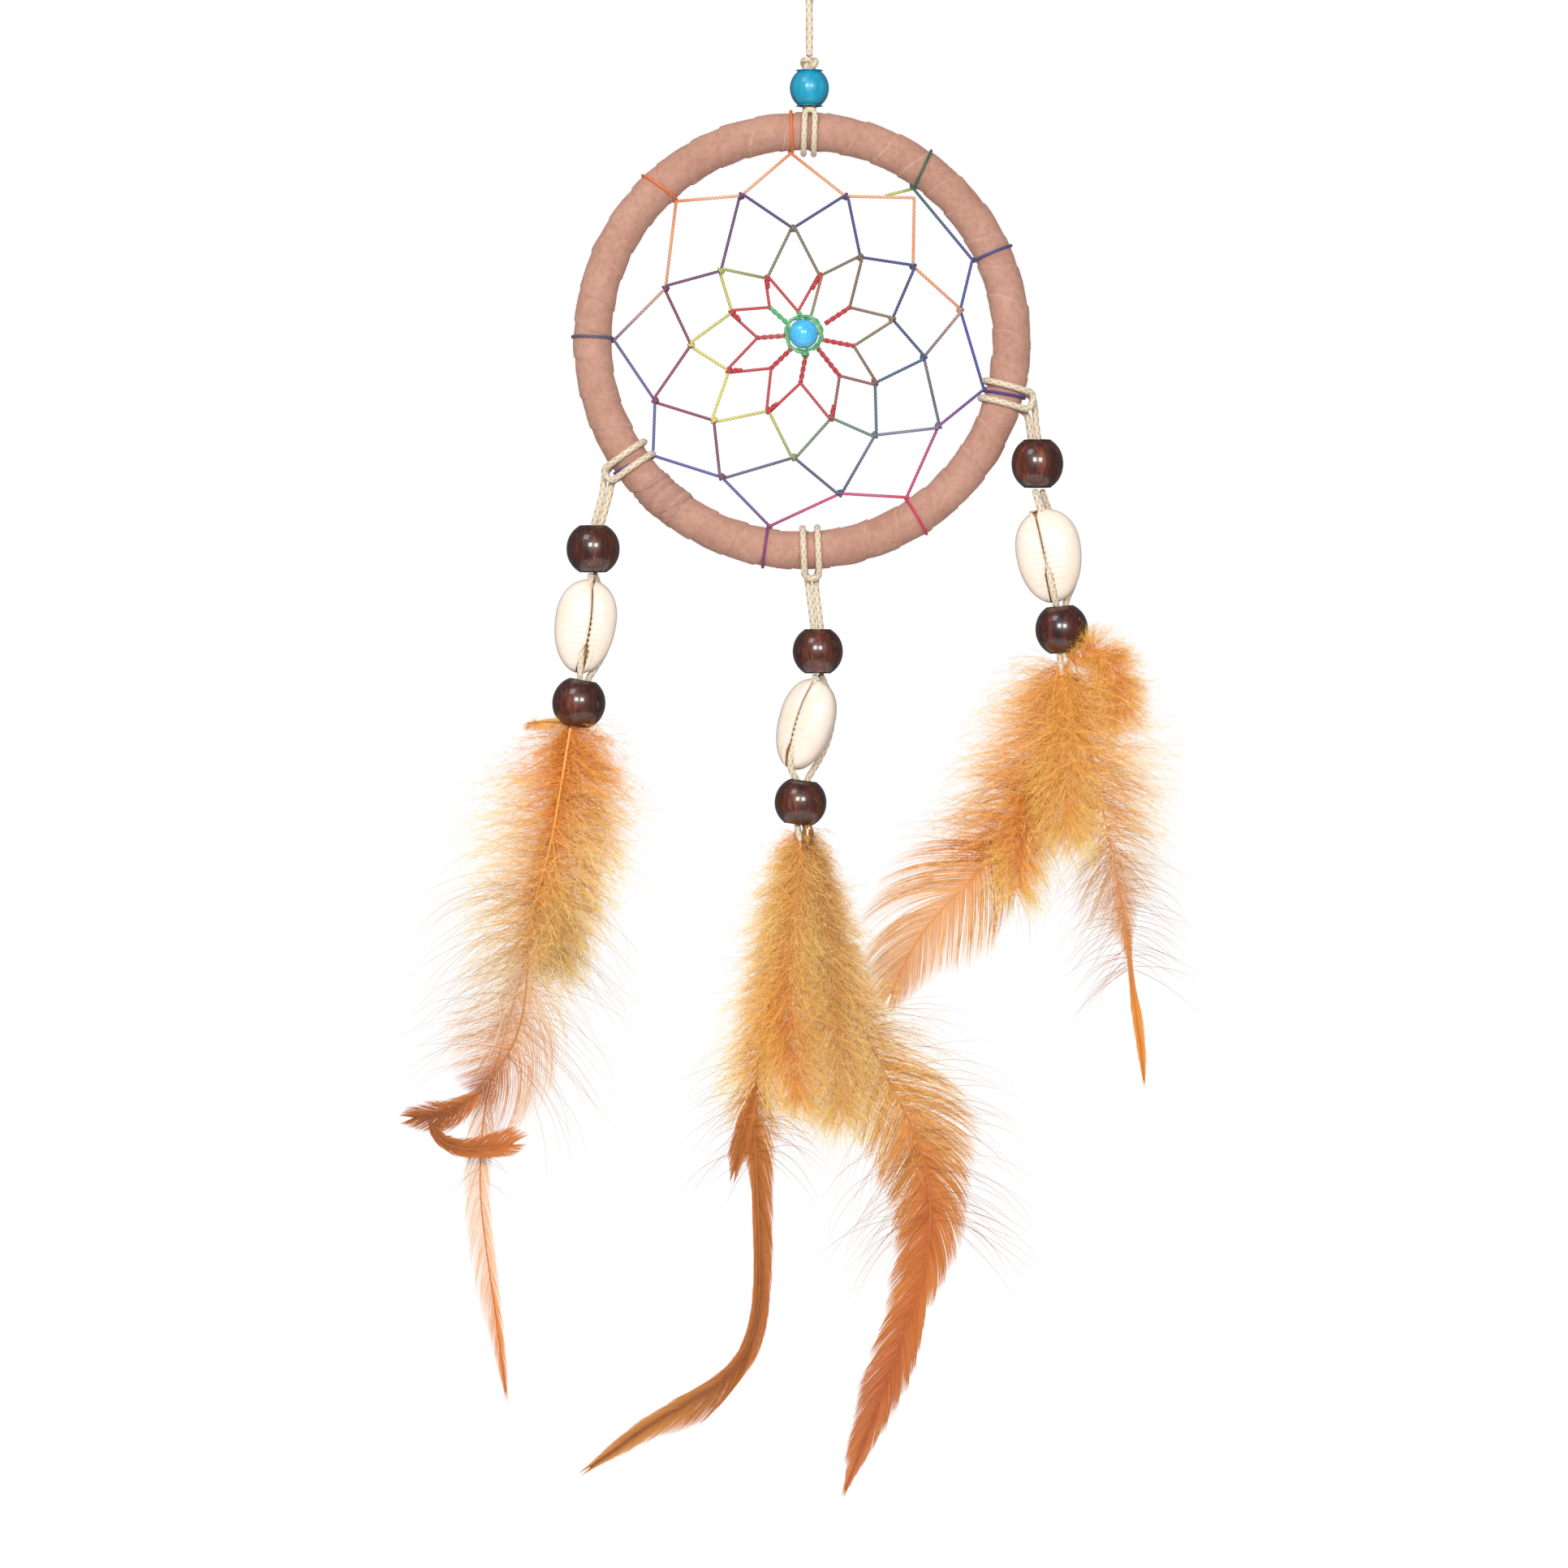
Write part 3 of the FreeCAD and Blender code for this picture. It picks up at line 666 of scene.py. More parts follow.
@dataclass(frozen=True)
class FeatherFinish(Finish):
    """Dyed feather: painted along its barbs, with fine streaks and a soft sheen."""

    streak: float = 0.1
    sheen: float = 0.04
    roughness: float = 0.62
    streak_tint: Colour = (255, 206, 132)
    sheen_tint: Colour = (255, 214, 150)

    def fill(self, board: FinishBoard) -> None:
        """Feed the dyed colour and its streaks."""
        streaks = board.fibres(700, 2.4)["Shade"]
        colour = board.mix(board.times(streaks, self.streak), board.read("tint", "Color"), self.streak_tint)
        board.dress(Base_Color=colour, Roughness=board.between(streaks, 0.15, self.roughness),
                    Sheen_Weight=self.sheen, Sheen_Roughness=0.4, Sheen_Tint=paint(self.sheen_tint),
                    Specular_IOR_Level=0.3)


@dataclass(frozen=True)
class GlueFinish(Finish):
    """Set amber glue, glossy and a little cloudy."""

    dark: Colour = (96, 52, 20)
    light: Colour = (196, 140, 72)

    def fill(self, board: FinishBoard) -> None:
        """Feed cloud and gloss."""
        cloud = board.fibres(700, 2.4)["Shade"]
        board.dress(Base_Color=board.ramp(cloud, (0.2, self.dark), (0.85, self.light)),
                    Roughness=board.between(cloud, 0.2, 0.1), Coat_Weight=0.6)


@dataclass(frozen=True)
class PaperFinish(Finish):
    """Plain pale paper under the object."""

    shade: Colour = (250, 250, 250)
    white: Colour = (255, 255, 255)

    def fill(self, board: FinishBoard) -> None:
        """Feed a nearly even white."""
        paper = board.fibres(60, 0.4)["Shade"]
        board.dress(Base_Color=board.ramp(paper, (0.0, self.shade), (1.0, self.white)), Roughness=0.9)


SUEDE = SuedeFinish("brushed_suede")
CORD = CordFinish("waxed_cotton_cord")
THREAD = ThreadFinish("space_dyed_thread")
BROWN_WOOD = WoodFinish("lacquered_brown_wood")
BLUE_WOOD = WoodFinish("painted_blue_wood", dark=(8, 130, 164), middle=(20, 160, 194), bright=(62, 188, 214),
                       turned_away_shade=(10, 118, 152), grain_scale=1500.0, lacquer=0.45, roughness=0.3)
CANE_WOOD = WoodFinish("bare_cane", dark=(150, 112, 66), middle=(190, 150, 96), bright=(216, 180, 124),
                       turned_away_shade=(150, 116, 72), lacquer=0.1, roughness=0.6)
BLUE_GLASS = GlassFinish("sky_blue_glass")
SHELL = ShellFinish("polished_cowrie")
DOWN = FeatherFinish("dyed_down")
VANE = FeatherFinish("dyed_vane", streak=0.06, sheen=0.0, roughness=0.5)
QUILL = FeatherFinish("feather_shaft", streak=0.1, sheen=0.0, roughness=0.38)
GLUE = GlueFinish("amber_glue")
PAPER = PaperFinish("white_paper")


# ---- cords


@dataclass
class BraidedCord:
    """A waxed cord along a route, with the diamond relief of its braid."""

    name: str
    route: Sequence[Point]
    radius: float = 0.00065
    strands: int = 4
    braid_pitch: float = 0.0018
    relief: float = 0.07
    ring_step: float = 0.00012
    around: int = 20

    def line(self) -> Array:
        """The smooth line of the route."""
        return spline_line(self.route)

    def tube(self, line: Array) -> MeshParts:
        """Build the braided tube.

        Args:
            line: the cord's smooth line.

        Returns:
            The mesh parts, with the braid's valleys as a value that the cord's finish paints as shade.
        """
        path = evenly(line, self.ring_step)
        along = arc_lengths(path)[:, None]
        turn = circle(self.around)
        slide = math.tau * along / self.braid_pitch
        crossing = np.maximum(np.abs(np.cos((self.strands * turn + slide) / 2)),
                              np.abs(np.cos((self.strands * turn - slide) / 2)))
        valley = (1 - crossing) / (1 - math.cos(math.pi / 4))
        reach = self.radius * (1 - self.relief * np.clip(valley, 0, 1))
        ends = np.minimum(along, along[-1] - along) / self.radius
        reach = reach * np.sqrt(np.clip(ends * 2.0, 0.02, 1.0))
        # the valley value carries the painted shade between the strands
        return MeshParts().add(skin(path, reach, turn), tube_faces(len(path), self.around),
                               valley=np.clip(valley, 0, 1) ** 0.8)

    def make(self, body: str, nodes: Sequence[str], length: float, far_end: Ends, lay: str) -> Thing:
        """Args:
            body: the body it rides on.
            nodes: the CAD nodes it replaces.
            length: its real length, in metres; not used.
            far_end: what its far end does; not used.
            lay: how it lies; not used.

        Returns:
            The cord's object.
        """
        line = self.line()
        piece = fix(self.tube(line).build(self.name, CORD), body, nodes)
        return piece


def hoop_point(angle: float, outward: float, forward: float, aside: float = 0.0) -> Point:
    """A point beside the hoop's round section.

    Args:
        angle: place round the hoop in degrees from +X, anticlockwise seen from the front.
        outward: metres from the section's centre, away from the hoop's centre.
        forward: metres towards the front.
        aside: metres along the hoop.

    Returns:
        The point, in metres.
    """
    turn = math.radians(angle)
    reach = RING_RADIUS + outward
    return (HOOP_CENTRE[0] + reach * math.cos(turn) - aside * math.sin(turn), -forward,
            HOOP_CENTRE[2] + reach * math.sin(turn) + aside * math.cos(turn))


PENDANT_LEG = [(0.0056, 0.0019), (0.00306, 0.00365), (-0.00041, 0.00474), (-0.00365, 0.00306),
               (-0.00474, -0.00041), (-0.00306, -0.00365), (0.00041, -0.00474), (0.00365, -0.00306)]
TOP_LEG = [(0.004, 0.0028), (0.00124, 0.00464), (-0.0024, 0.00416), (-0.00464, 0.00124),
           (-0.00416, -0.0024), (-0.00124, -0.00464), (0.0024, -0.00416)]


def hitch_route(angle: float, spread: float, leg: Sequence[tuple[float, float]], first_end: list[Point],
                second_end: list[Point]) -> list[Point]:
    """A cow hitch: up from one standing end, round the band, across the bight, round and down again.

    Args:
        angle: place of the hitch round the hoop, in degrees.
        spread: half the space between its legs.
        leg: one leg, from the bight round to the back, as (outward, forward).
        first_end: points of the first standing end, from the hoop down.
        second_end: points of the second standing end, from the hoop down.

    Returns:
        The whole route.
    """
    first = [hoop_point(angle, u, f, -spread) for u, f in leg]
    second = [hoop_point(angle, u, f, spread) for u, f in leg]
    return first_end[::-1] + first[::-1] + second + second_end


@dataclass
class Hanger:
    """The doubled hanging cord, its overhand knot and the blue bead."""

    loop_route: Sequence[Point] = (
        (0.00005, -0.00072, -0.0352), (0.00015, -0.00075, -0.0300), (-0.00005, -0.0007, -0.0244),
        (-0.0005, -0.00066, -0.0186), (-0.0019, -0.0005, -0.0136), (-0.0034, -0.00025, -0.0096),
        (-0.0044, -0.00005, -0.0054), (-0.0039, 0.0, -0.0016), (-0.0018, 0.0, 0.00065),
        (0.0018, 0.0, 0.00065), (0.0039, 0.0, -0.0016), (0.0044, 0.00005, -0.0054),
        (0.0034, 0.00025, -0.0096), (0.0019, 0.0005, -0.0136), (0.0006, 0.00066, -0.0186),
        (0.0001, 0.0007, -0.0244), (-0.0001, 0.00075, -0.0300), (0.00005, 0.00072, -0.0352))
    knot_centre: Point = (0.00005, 0.0, -0.0368)
    bead_centre: Point = (0.00005, 0.0, -0.0414)

    def make(self) -> None:
        """Build the three pieces and the hitch on the hoop's top."""
        BraidedCord("hanging_loop_cord", self.loop_route).make(
            "hanger", ["hanging_cord"], 0.0776, Ends.INTO_OBJECT, "taut")
        self.knot()
        bead = TurnedBead("blue_painted_bead", self.bead_centre, 0.0077, 0.0069, 0.0021, BLUE_WOOD, seed=3)
        bead.make("hanger", "blue_wood", ["blue_bead"])
        top_first = [(0.00079, 0.0009, -0.04493), (0.00072, 0.0001, -0.04303), (0.0007, 0.0, -0.0410),
                     (0.00071, 0.00005, -0.0396)]
        top_second = [(-0.00071, 0.0009, -0.04493), (-0.00064, 0.0001, -0.04303), (-0.00062, 0.0, -0.0410),
                      (-0.00061, 0.00005, -0.0396)]
        BraidedCord("top_hitch", hitch_route(88.0, 0.001, TOP_LEG, top_first, top_second), radius=0.0006).make(
            "top_hitch", ["top_hitch_cord"], 0.0619, Ends.INTO_OBJECT, "taut")

    def knot(self) -> None:
        """Tie the overhand knot: a three-lobed closed turn of the doubled cord, with two ends let out below."""
        turn = np.linspace(0, math.tau, 181)
        wide, tall, deep = 0.00047, 0.00050, 0.00062
        loop = np.stack([wide * (np.sin(turn) + 2 * np.sin(2 * turn)), -deep * 1.5 * np.sin(3 * turn),
                         tall * (np.cos(turn) - 2 * np.cos(2 * turn))], axis=1) + np.array(self.knot_centre)
        cord = BraidedCord("overhand_knot", (), radius=0.00058)
        parts = cord.tube(loop)
        below = np.array(((-0.0002, -0.0002, -0.0372), (-0.0006, -0.0005, -0.0381), (-0.0011, -0.0006, -0.0389)))
        for sign in (-1.0, 1.0):
            parts.join(cord.tube(evenly(below * (sign, 1.0, 1.0), cord.ring_step)))
        fix(parts.build("overhand_knot", CORD), "hanger", ["top_knot"])


# ---- beads and shells


def turn_about_y(points: Array, degrees: float, centre: Sequence[float]) -> Array:
    """Turn points about Y and carry them to a centre; a positive turn carries the lower end to the left."""
    angle = math.radians(degrees)
    c, s = math.cos(angle), math.sin(angle)
    turned = np.stack([points[..., 0] * c + points[..., 2] * s, points[..., 1],
                       -points[..., 0] * s + points[..., 2] * c], axis=-1)
    return turned + np.asarray(centre, float)


@dataclass
class TurnedBead:
    """A barrel bead turned about its hole, slightly uneven, with rounded rims."""

    name: str
    centre: Point
    width: float
    height: float
    bore: float
    finish: Finish
    tilt: float = 0.0
    seed: int = 1
    rim_share: float = 0.53
    fullness: float = 2.05
    around: int = 72
    side_steps: int = 30

    def profile(self) -> tuple[Array, Array]:
        """The closed half section as radius and height pairs, and how deep each lies in the hole."""
        half, low = self.width / 2, self.height / 2
        lens = low / (1 - self.rim_share ** self.fullness) ** (1 / self.fullness)
        heights = low * np.sin(np.linspace(-math.pi / 2, math.pi / 2, self.side_steps))
        side = half * (1 - np.abs(heights / lens) ** self.fullness) ** (1 / self.fullness)
        lip = 0.08 * self.height
        inner = [(side[-1] - 0.35 * lip, low + 0.12 * lip), (self.bore + 1.1 * lip, low + 0.1 * lip),
                 (self.bore + 0.35 * lip, low - 0.2 * lip), (self.bore, low - lip)]
        down = [(self.bore, -low + lip)] + [(r, -z) for r, z in inner[:3][::-1]]
        hole = [(self.bore, z) for z in np.linspace(low - lip, -low + lip, 8)[1:-1]]
        outline = list(zip(side, heights)) + inner + hole + down
        depth = [0.0] * len(side) + [0.0, 0.1, 0.6, 0.9] + [1.0] * len(hole) + [0.9, 0.6, 0.1, 0.0]
        return np.array(outline), np.array(depth)

    def make(self, body: str, slot: str, nodes: Sequence[str]) -> Thing:
        """Build the bead and fix it to its body."""
        outline, depth = self.profile()
        turn = circle(self.around)
        wobble = 1 + 0.006 * ripple(np.cos(turn) * 1.3, self.seed)[None, :] \
            + 0.004 * ripple(outline[:, 1:2] / self.height * 6, self.seed + 9)
        reach = outline[:, 0:1] * wobble
        points = np.stack([reach * np.cos(turn), reach * np.sin(turn),
                           np.broadcast_to(outline[:, 1:2], reach.shape)], axis=-1)
        # the depth into the hole is painted as shade by the wood finish
        parts = MeshParts().add(turn_about_y(points, self.tilt, self.centre),
                                [grid_faces(len(outline), self.around, wrap_rows=True)],
                                rim=np.broadcast_to(depth[:, None], reach.shape))
        return fix(parts.build(self.name, self.finish), body, nodes)


@dataclass
class Cowrie:
    """A cowrie shell seen on its flat side: rolled lips with teeth along a narrow curved opening."""

    name: str
    centre: Point
    width: float
    height: float
    depth: float
    tilt: float
    slit_offset: float = 0.0006
    slit_bow: float = 0.0006
    slit_lean: float = 0.0
    slit_open: float = 0.3
    teeth: int = 17
    turn: float = 0.0
    rows: int = 190

    def section(self, place: float) -> tuple[Array, Array]:
        """One closed cross section of the shell.

        Args:
            place: from -1 at the bottom to 1 at the top.

        Returns:
            Points as (right, back) in metres, and how far each lies into the opening.
        """
        share = max(1e-4, 1 - abs(place) ** 2.25) ** 0.5
        half = self.width / 2 * share * (1 + 0.10 * place)
        back = self.depth * 0.62 * share ** 0.9
        front = self.depth * 0.38 * share ** 0.75
        middle = self.slit_offset + self.slit_bow * (1 - place * place) + self.slit_lean * place
        below = min(1.0, max(0.0, (-place - self.slit_open) / 0.3))
        above = min(1.0, max(0.0, (place - 0.84) / 0.14))
        gap = min(0.00013 + 0.00060 * below * below * (3 - 2 * below) + 0.0005 * above, half * 0.5)
        toothed = max(0.0, 1 - abs(place + 0.25) / 0.55) ** 0.5
        wave = math.cos(place * self.teeth * math.pi)
        roll = min(0.0008, half * 0.22)
        well = min(0.0016, back * 0.8 + front * 0.5)
        edge = -front * 0.9
        out_left, out_right = [], []
        for side, sink in ((-1.0, out_left), (1.0, out_right)):
            tooth = (0.00017 if side > 0 else 0.00005) * wave * toothed
            sink.append((middle + side * gap * 1.3, edge + well, 1.0))
            sink.append((middle + side * gap, edge + well * 0.55, 0.9))
            sink.append((middle + side * (gap - tooth * 0.6), edge + roll * 0.8, 0.6))
            sink.append((middle + side * (gap - tooth), edge + roll * 0.25, 0.3))
            sink.append((middle + side * (gap + roll * 0.22 - tooth), edge - roll * 0.04, 0.08))
            lip = middle + side * (gap + roll)
            sink.append((lip, edge - roll * 0.16 - 0.00003 * wave * toothed, 0.0))
            start = min(abs(lip) / max(half, 1e-6) if lip * side > 0 else -abs(lip) / max(half, 1e-6), 0.9)
            for step in np.linspace(0.0, 1.0, 18)[1:]:
                across = start + (1 - start) * math.sin(step * math.pi / 2)
                dome = max(0.0, 1 - min(1.0, abs(across)) ** 2.6) ** 0.5
                ribs = 0.00004 * wave * toothed * max(0.0, 1 - step * 2.4)
                sink.append((side * half * across, -front * (0.93 + 0.07 * step) * dome - ribs, 0.0))
        angles = np.linspace(math.pi / 2, -math.pi / 2, 26)[1:-1]
        rear = [(half * math.sin(a), back * abs(math.cos(a)) ** 0.86, 0.0) for a in angles]
        # the ring closes across the bottom of the opening
        data = np.array(out_right + rear + out_left[::-1])
        return data[:, :2], data[:, 2]

    def make(self, body: str, slot: str, nodes: Sequence[str]) -> Thing:
        """Build the shell and fix it to its body."""
        places = np.sin(np.linspace(-math.pi / 2, math.pi / 2, self.rows)) * 0.9995
        rings, inside = zip(*(self.section(float(p)) for p in places))
        outline = np.stack(rings)
        z = np.broadcast_to((places * self.height / 2)[:, None], outline.shape[:2])
        points = np.stack([outline[..., 0], outline[..., 1], z], axis=-1)
        angle = math.radians(self.turn)
        c, s = math.cos(angle), math.sin(angle)
        points = np.stack([points[..., 0] * c - points[..., 1] * s, points[..., 0] * s + points[..., 1] * c,
                           points[..., 2]], axis=-1)
        parts = MeshParts().add(turn_about_y(points, self.tilt, self.centre),
                                tube_faces(self.rows, outline.shape[1]), opening=np.stack(inside))
        return fix(parts.build(self.name, SHELL), body, nodes)


# ---- hoop


@dataclass
class SuedeHoop:
    """The cane ring's spiral suede wrap, its nap and the glued rough end."""

    turns: int = 39
    overlap_step: float = 0.00026
    around_ring: int = 1900
    around_band: int = 40
    nap_count: int = 30000
    nap_half_width: float = 0.000032
    end_angles: tuple[float, float] = (222.5, 234.5)

    def surface(self, ring: Array, band: Array, proud: float = 0.0) -> tuple[Array, Array, Array]:
        """Points of the wrapped surface.

        Args:
            ring: angles round the hoop, in radians.
            band: angles round the band, in radians, 0 outward and a quarter turn to the front.
            proud: extra height above the wrap.

        Returns:
            Points, outward directions and the paleness of the ribbon's cut edge.
        """
        phase = (self.turns * ring / (math.tau) - band / (math.tau)
                 + 0.13 * ripple(ring * 9, 5) + 0.03 * np.sin(band * 2 + ring * 31))
        share = phase - np.floor(phase)
        drop = np.clip((share - 0.955) / 0.045, 0, 1)
        rise = self.overlap_step * (share ** 0.8) * (1 - drop * drop * (3 - 2 * drop))
        lumps = 0.00011 * ripple(ring * 24 + np.sin(band) * 1.4, 7) + 0.00007 * ripple(band * 2 + ring * 11, 8)
        reach = BAND_RADIUS - 0.00012 + rise + lumps + proud
        outward = np.stack([np.cos(ring), np.zeros_like(ring), np.sin(ring)], axis=-1)
        normal = outward * np.cos(band)[..., None] + FRONT * np.sin(band)[..., None]
        points = HOOP_CENTRE + outward * RING_RADIUS + normal * reach[..., None]
        shown = np.clip(0.5 + 1.2 * ripple(ring * 14, 15), 0.12, 1)
        edge = np.exp(-((share - 0.965) / 0.016) ** 2) * shown * (0.6 + 0.4 * ripple(ring * 43 + band * 3, 12))
        return points, normal, np.clip(edge, 0, 1) * 0.6

    def make(self) -> None:
        """Build the wrap, its nap, the rough end, and dress the cane inside."""
        self.wrap()
        self.nap()
        self.rough_end()
        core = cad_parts["hoop_core"]
        core.data.materials.clear()
        core.data.materials.append(CANE_WOOD.material())

    def wrap(self) -> None:
        """Build the spiral wrap as one closed surface."""
        ring, band = np.meshgrid(circle(self.around_ring), circle(self.around_band), indexing="ij")
        points, _, edge = self.surface(ring, band)
        middle = math.radians(sum(self.end_angles) / 2)
        stain = np.exp(-((ring - middle) / 0.11) ** 2) * (0.25 + 0.3 * ripple(ring * 60 + band * 5, 21))
        parts = MeshParts().add(points, [grid_faces(self.around_ring, self.around_band, wrap_rows=True)], edge=edge,
                                stain=np.clip(stain, 0, 1))
        fix(parts.build("suede_band", SUEDE), "hoop", ["suede_wrap"])

    def nap(self) -> None:
        """Grow the short nap as fine slivers leaning out of the suede."""
        rng = np.random.default_rng(11)
        ring = rng.uniform(0, math.tau, self.nap_count)
        band = rng.uniform(0, math.tau, self.nap_count)
        foot, normal, edge = self.surface(ring, band, -0.00003)
        lean = unit(normal + rng.normal(0, 0.45, foot.shape))
        aside = unit(np.cross(lean, rng.normal(0, 1, foot.shape)))
        tall = rng.uniform(0.00012, 0.00042, self.nap_count)[:, None]
        wide = self.nap_half_width
        points = np.stack([foot - aside * wide, foot + aside * wide, foot + lean * tall], axis=1)
        faces = np.arange(self.nap_count * 3).reshape(-1, 3)
        edge = np.clip(edge + rng.uniform(0, 0.4, edge.shape), 0, 1)
        parts = MeshParts().add(points, [faces], edge=np.repeat(edge, 3), stain=np.zeros(self.nap_count * 3))
        fix(parts.build("suede_nap", SUEDE, smooth=False), "hoop")

    def rough_end(self) -> None:
        """Build the glued end turn with a ragged, stained edge."""
        low, high = (math.radians(a) for a in self.end_angles)
        rows, columns = 90, 120
        share, band = np.meshgrid(np.linspace(0, 1, rows), circle(columns), indexing="ij")
        ragged = 0.022 * ripple(np.cos(band) * 2, 31) + 0.010 * ripple(np.sin(band) * 5 + np.cos(band) * 4, 32)
        ring = low + (high - low) * share + ragged * (2 * share - 1)
        lift = np.clip(np.minimum(share, 1 - share) * 14, 0, 1)
        lumps = 0.00014 * ripple(ring * 90 + np.sin(band) * 2, 33) + 0.00008 * ripple(np.cos(band) * 5 + ring * 60, 34)
        proud = 0.00018 * lift - 0.00022 * (1 - lift) + lumps * lift
        points, _, edge = self.surface(ring, band, proud)
        stain = np.clip(0.3 + 0.4 * ripple(ring * 60 + np.sin(band) * 2.4, 35) + 0.25 * (1 - lift), 0, 0.8)
        edge = np.clip(edge * 0.3 + 0.5 * (1 - lift) * (share > 0.5), 0, 1)
        parts = MeshParts().add(points, [grid_faces(rows, columns)], edge=edge, stain=stain)
        fix(parts.build("suede_rough_end", SUEDE), "hoop", ["suede_end_turn"])


# ---- web


RED = (205, 30, 45)


@dataclass
class Web:
    """The one long space-dyed thread: its turns round the hoop, its rounds of half hitches and its centre."""

    radius: float = 0.00031
    ply_pitch: float = 0.0021
    ring_step: float = 0.0002
    around: int = 12
    loop_radius: float = 0.00398
    hitch_radius: float = 0.00058
    doubled_pitch: float = 0.0027
    ring_radius: float = 0.00345

    # inner place of each turn on the hoop, in millimetres from the hoop's centre, and the angle of its outer end
    turns: dict[str, tuple[float, float, float]] = field(default_factory=lambda: {
        "H1": (-2.2, 37.3, 92.8), "H2": (-25, 27.7, 134), "H3": (-37.8, 0.2, 179),
        "H4": (-30.2, -23.2, 215.3), "H5": (-6.6, -37.6, 260.1), "H6": (21, -31.5, 302.8),
        "H7": (37, -9.9, 345.5), "H8": (34.6, 16.3, 24.5), "H9": (22.1, 30.6, 55.8)})
    knots: dict[str, tuple[float, float]] = field(default_factory=lambda: {
        "K1a": (-12, 28.6), "K1b": (-26.9, 10.4), "K1c": (-29, -11.8), "K1d": (-15.8, -26.9),
        "K1e": (7.5, -30.1), "K1f": (26.9, -16.8), "K1g": (31.2, 6.1), "K1i": (8.6, 28.5),
        "K2a": (-1.8, 22.2), "K2b": (-16, 13.8), "K2c": (-21.9, -0.8), "K2d": (-17.4, -15.7),
        "K2e": (-1.6, -23), "K2f": (14.4, -18.6), "K2g": (24, -3.2), "K2i": (11.5, 16.5),
        "K3a": (-6.9, 12.3), "K3b": (-13.8, 5.6), "K3c": (-14.4, -5.9), "K3d": (-6.6, -13.8),
        "K3e": (5.8, -15.2), "K3f": (14.4, -8.3), "K3h": (9.4, 6.6), "K3i": (3.5, 12.8),
        "K4a": (-0.8, 5.8), "K4b": (-6.4, 6.6), "K4c": (-8.8, 0.6), "K4d": (-6.1, -5.4),
        "K4e": (-0.3, -8.3), "K4f": (7.4, -6.9), "K4g": (10.2, -1),
        "start": (22.1, 28.2), "P": (21.9, 14.7), "Q": (17.8, 4.3), "tail": (16.4, 28.6), "ring": (1.8, 5)})
    # the thread's way in order, each stop with the colour of the run that leads to it
    way: tuple[tuple[str, Colour], ...] = (
        ("tail", (190, 200, 80)), ("H9", (190, 200, 80)), ("H8", (55, 85, 140)),
        ("K1g", (50, 65, 160)), ("H7", (52, 60, 160)), ("K1f", (115, 50, 140)), ("H6", (200, 60, 120)),
        ("K1e", (215, 75, 130)), ("H5", (205, 60, 125)), ("K1d", (95, 90, 165)), ("H4", (92, 90, 165)),
        ("K1c", (90, 90, 168)), ("H3", (100, 90, 160)), ("K1b", (190, 150, 145)), ("H2", (250, 165, 105)),
        ("K1a", (250, 185, 140)), ("H1", (250, 175, 120)), ("K1i", (250, 170, 110)), ("start", (250, 180, 140)),
        ("P", (250, 150, 90)), ("K1g", (246, 160, 110)), ("K2g", (140, 120, 120)), ("K1f", (90, 90, 115)),
        ("K2f", (140, 130, 160)), ("K1e", (90, 90, 130)), ("K2e", (75, 75, 115)), ("K1d", (100, 100, 135)),
        ("K2d", (130, 50, 90)), ("K1c", (148, 50, 93)), ("K2c", (148, 50, 93)), ("K1b", (120, 45, 90)),
        ("K2b", (112, 48, 108)), ("K1a", (100, 48, 110)), ("K2a", (55, 50, 120)), ("K1i", (50, 50, 124)),
        ("K2i", (48, 58, 130)), ("P", (45, 60, 128)), ("Q", (45, 65, 125)), ("K2g", (50, 80, 125)),
        ("K3f", (55, 95, 130)), ("K2f", (75, 120, 130)), ("K3e", (110, 138, 110)), ("K2e", (118, 146, 104)),
        ("K3d", (200, 195, 90)), ("K2d", (235, 220, 120)), ("K3c", (228, 217, 114)), ("K2c", (225, 215, 110)),
        ("K3b", (206, 202, 90)), ("K2b", (200, 198, 86)), ("K3a", (130, 128, 85)), ("K2a", (124, 120, 84)),
        ("K3i", (128, 112, 82)), ("K2i", (126, 108, 80)), ("K3h", (140, 90, 75)), ("Q", (150, 125, 85)),
        ("K4g", (135, 115, 85)), ("K3f", (140, 85, 70)), ("K4f", (160, 80, 75)), ("K3e", (180, 70, 75)),
        ("K4e", RED), ("K3d", (208, 32, 48)), ("K4d", RED), ("K3c", RED),
        ("K4c", (200, 40, 50)), ("K3b", (205, 34, 48)), ("K4b", RED), ("K3a", RED),
        ("K4a", (208, 34, 48)), ("K3i", RED), ("ring", (70, 180, 110)))
    # short doubled stretches: from one stop part of the way to another, with the share covered and the colour
    doubled: tuple[tuple[str, str, float, Colour], ...] = (
        ("K3f", "K4g", 0.12, (170, 75, 50)), ("K3e", "K4f", 0.3, RED), ("K3d", "K4e", 0.28, RED),
        ("K3c", "K4d", 0.3, RED), ("K3b", "K4c", 0.32, RED), ("K3a", "K4b", 0.34, RED),
        ("K3i", "K4a", 0.36, RED))
    spokes: tuple[tuple[str, tuple[float, float], Colour], ...] = (
        ("K3h", (4.6, 3.4), (205, 36, 48)), ("K4g", (4.0, 0.2), (205, 34, 48)), ("K4f", (3.2, -1.6), (200, 36, 50)),
        ("K4e", (0.8, -2.4), (200, 40, 52)), ("K4d", (-2.2, -1.6), (205, 34, 48)), ("K4c", (-3.4, 1.0), (196, 80, 80)),
        ("K4b", (-2.8, 3.4), (90, 190, 120)), ("K4a", (-0.2, 5.0), (90, 190, 120)))
    wrap_tints: dict[str, Colour] = field(default_factory=lambda: {
        "H1": (245, 115, 30), "H2": (248, 118, 36), "H3": (90, 80, 110), "H4": (96, 80, 160), "H5": (140, 40, 110),
        "H6": (215, 30, 80), "H7": (70, 40, 140), "H8": (60, 60, 140), "H9": (45, 95, 75)})
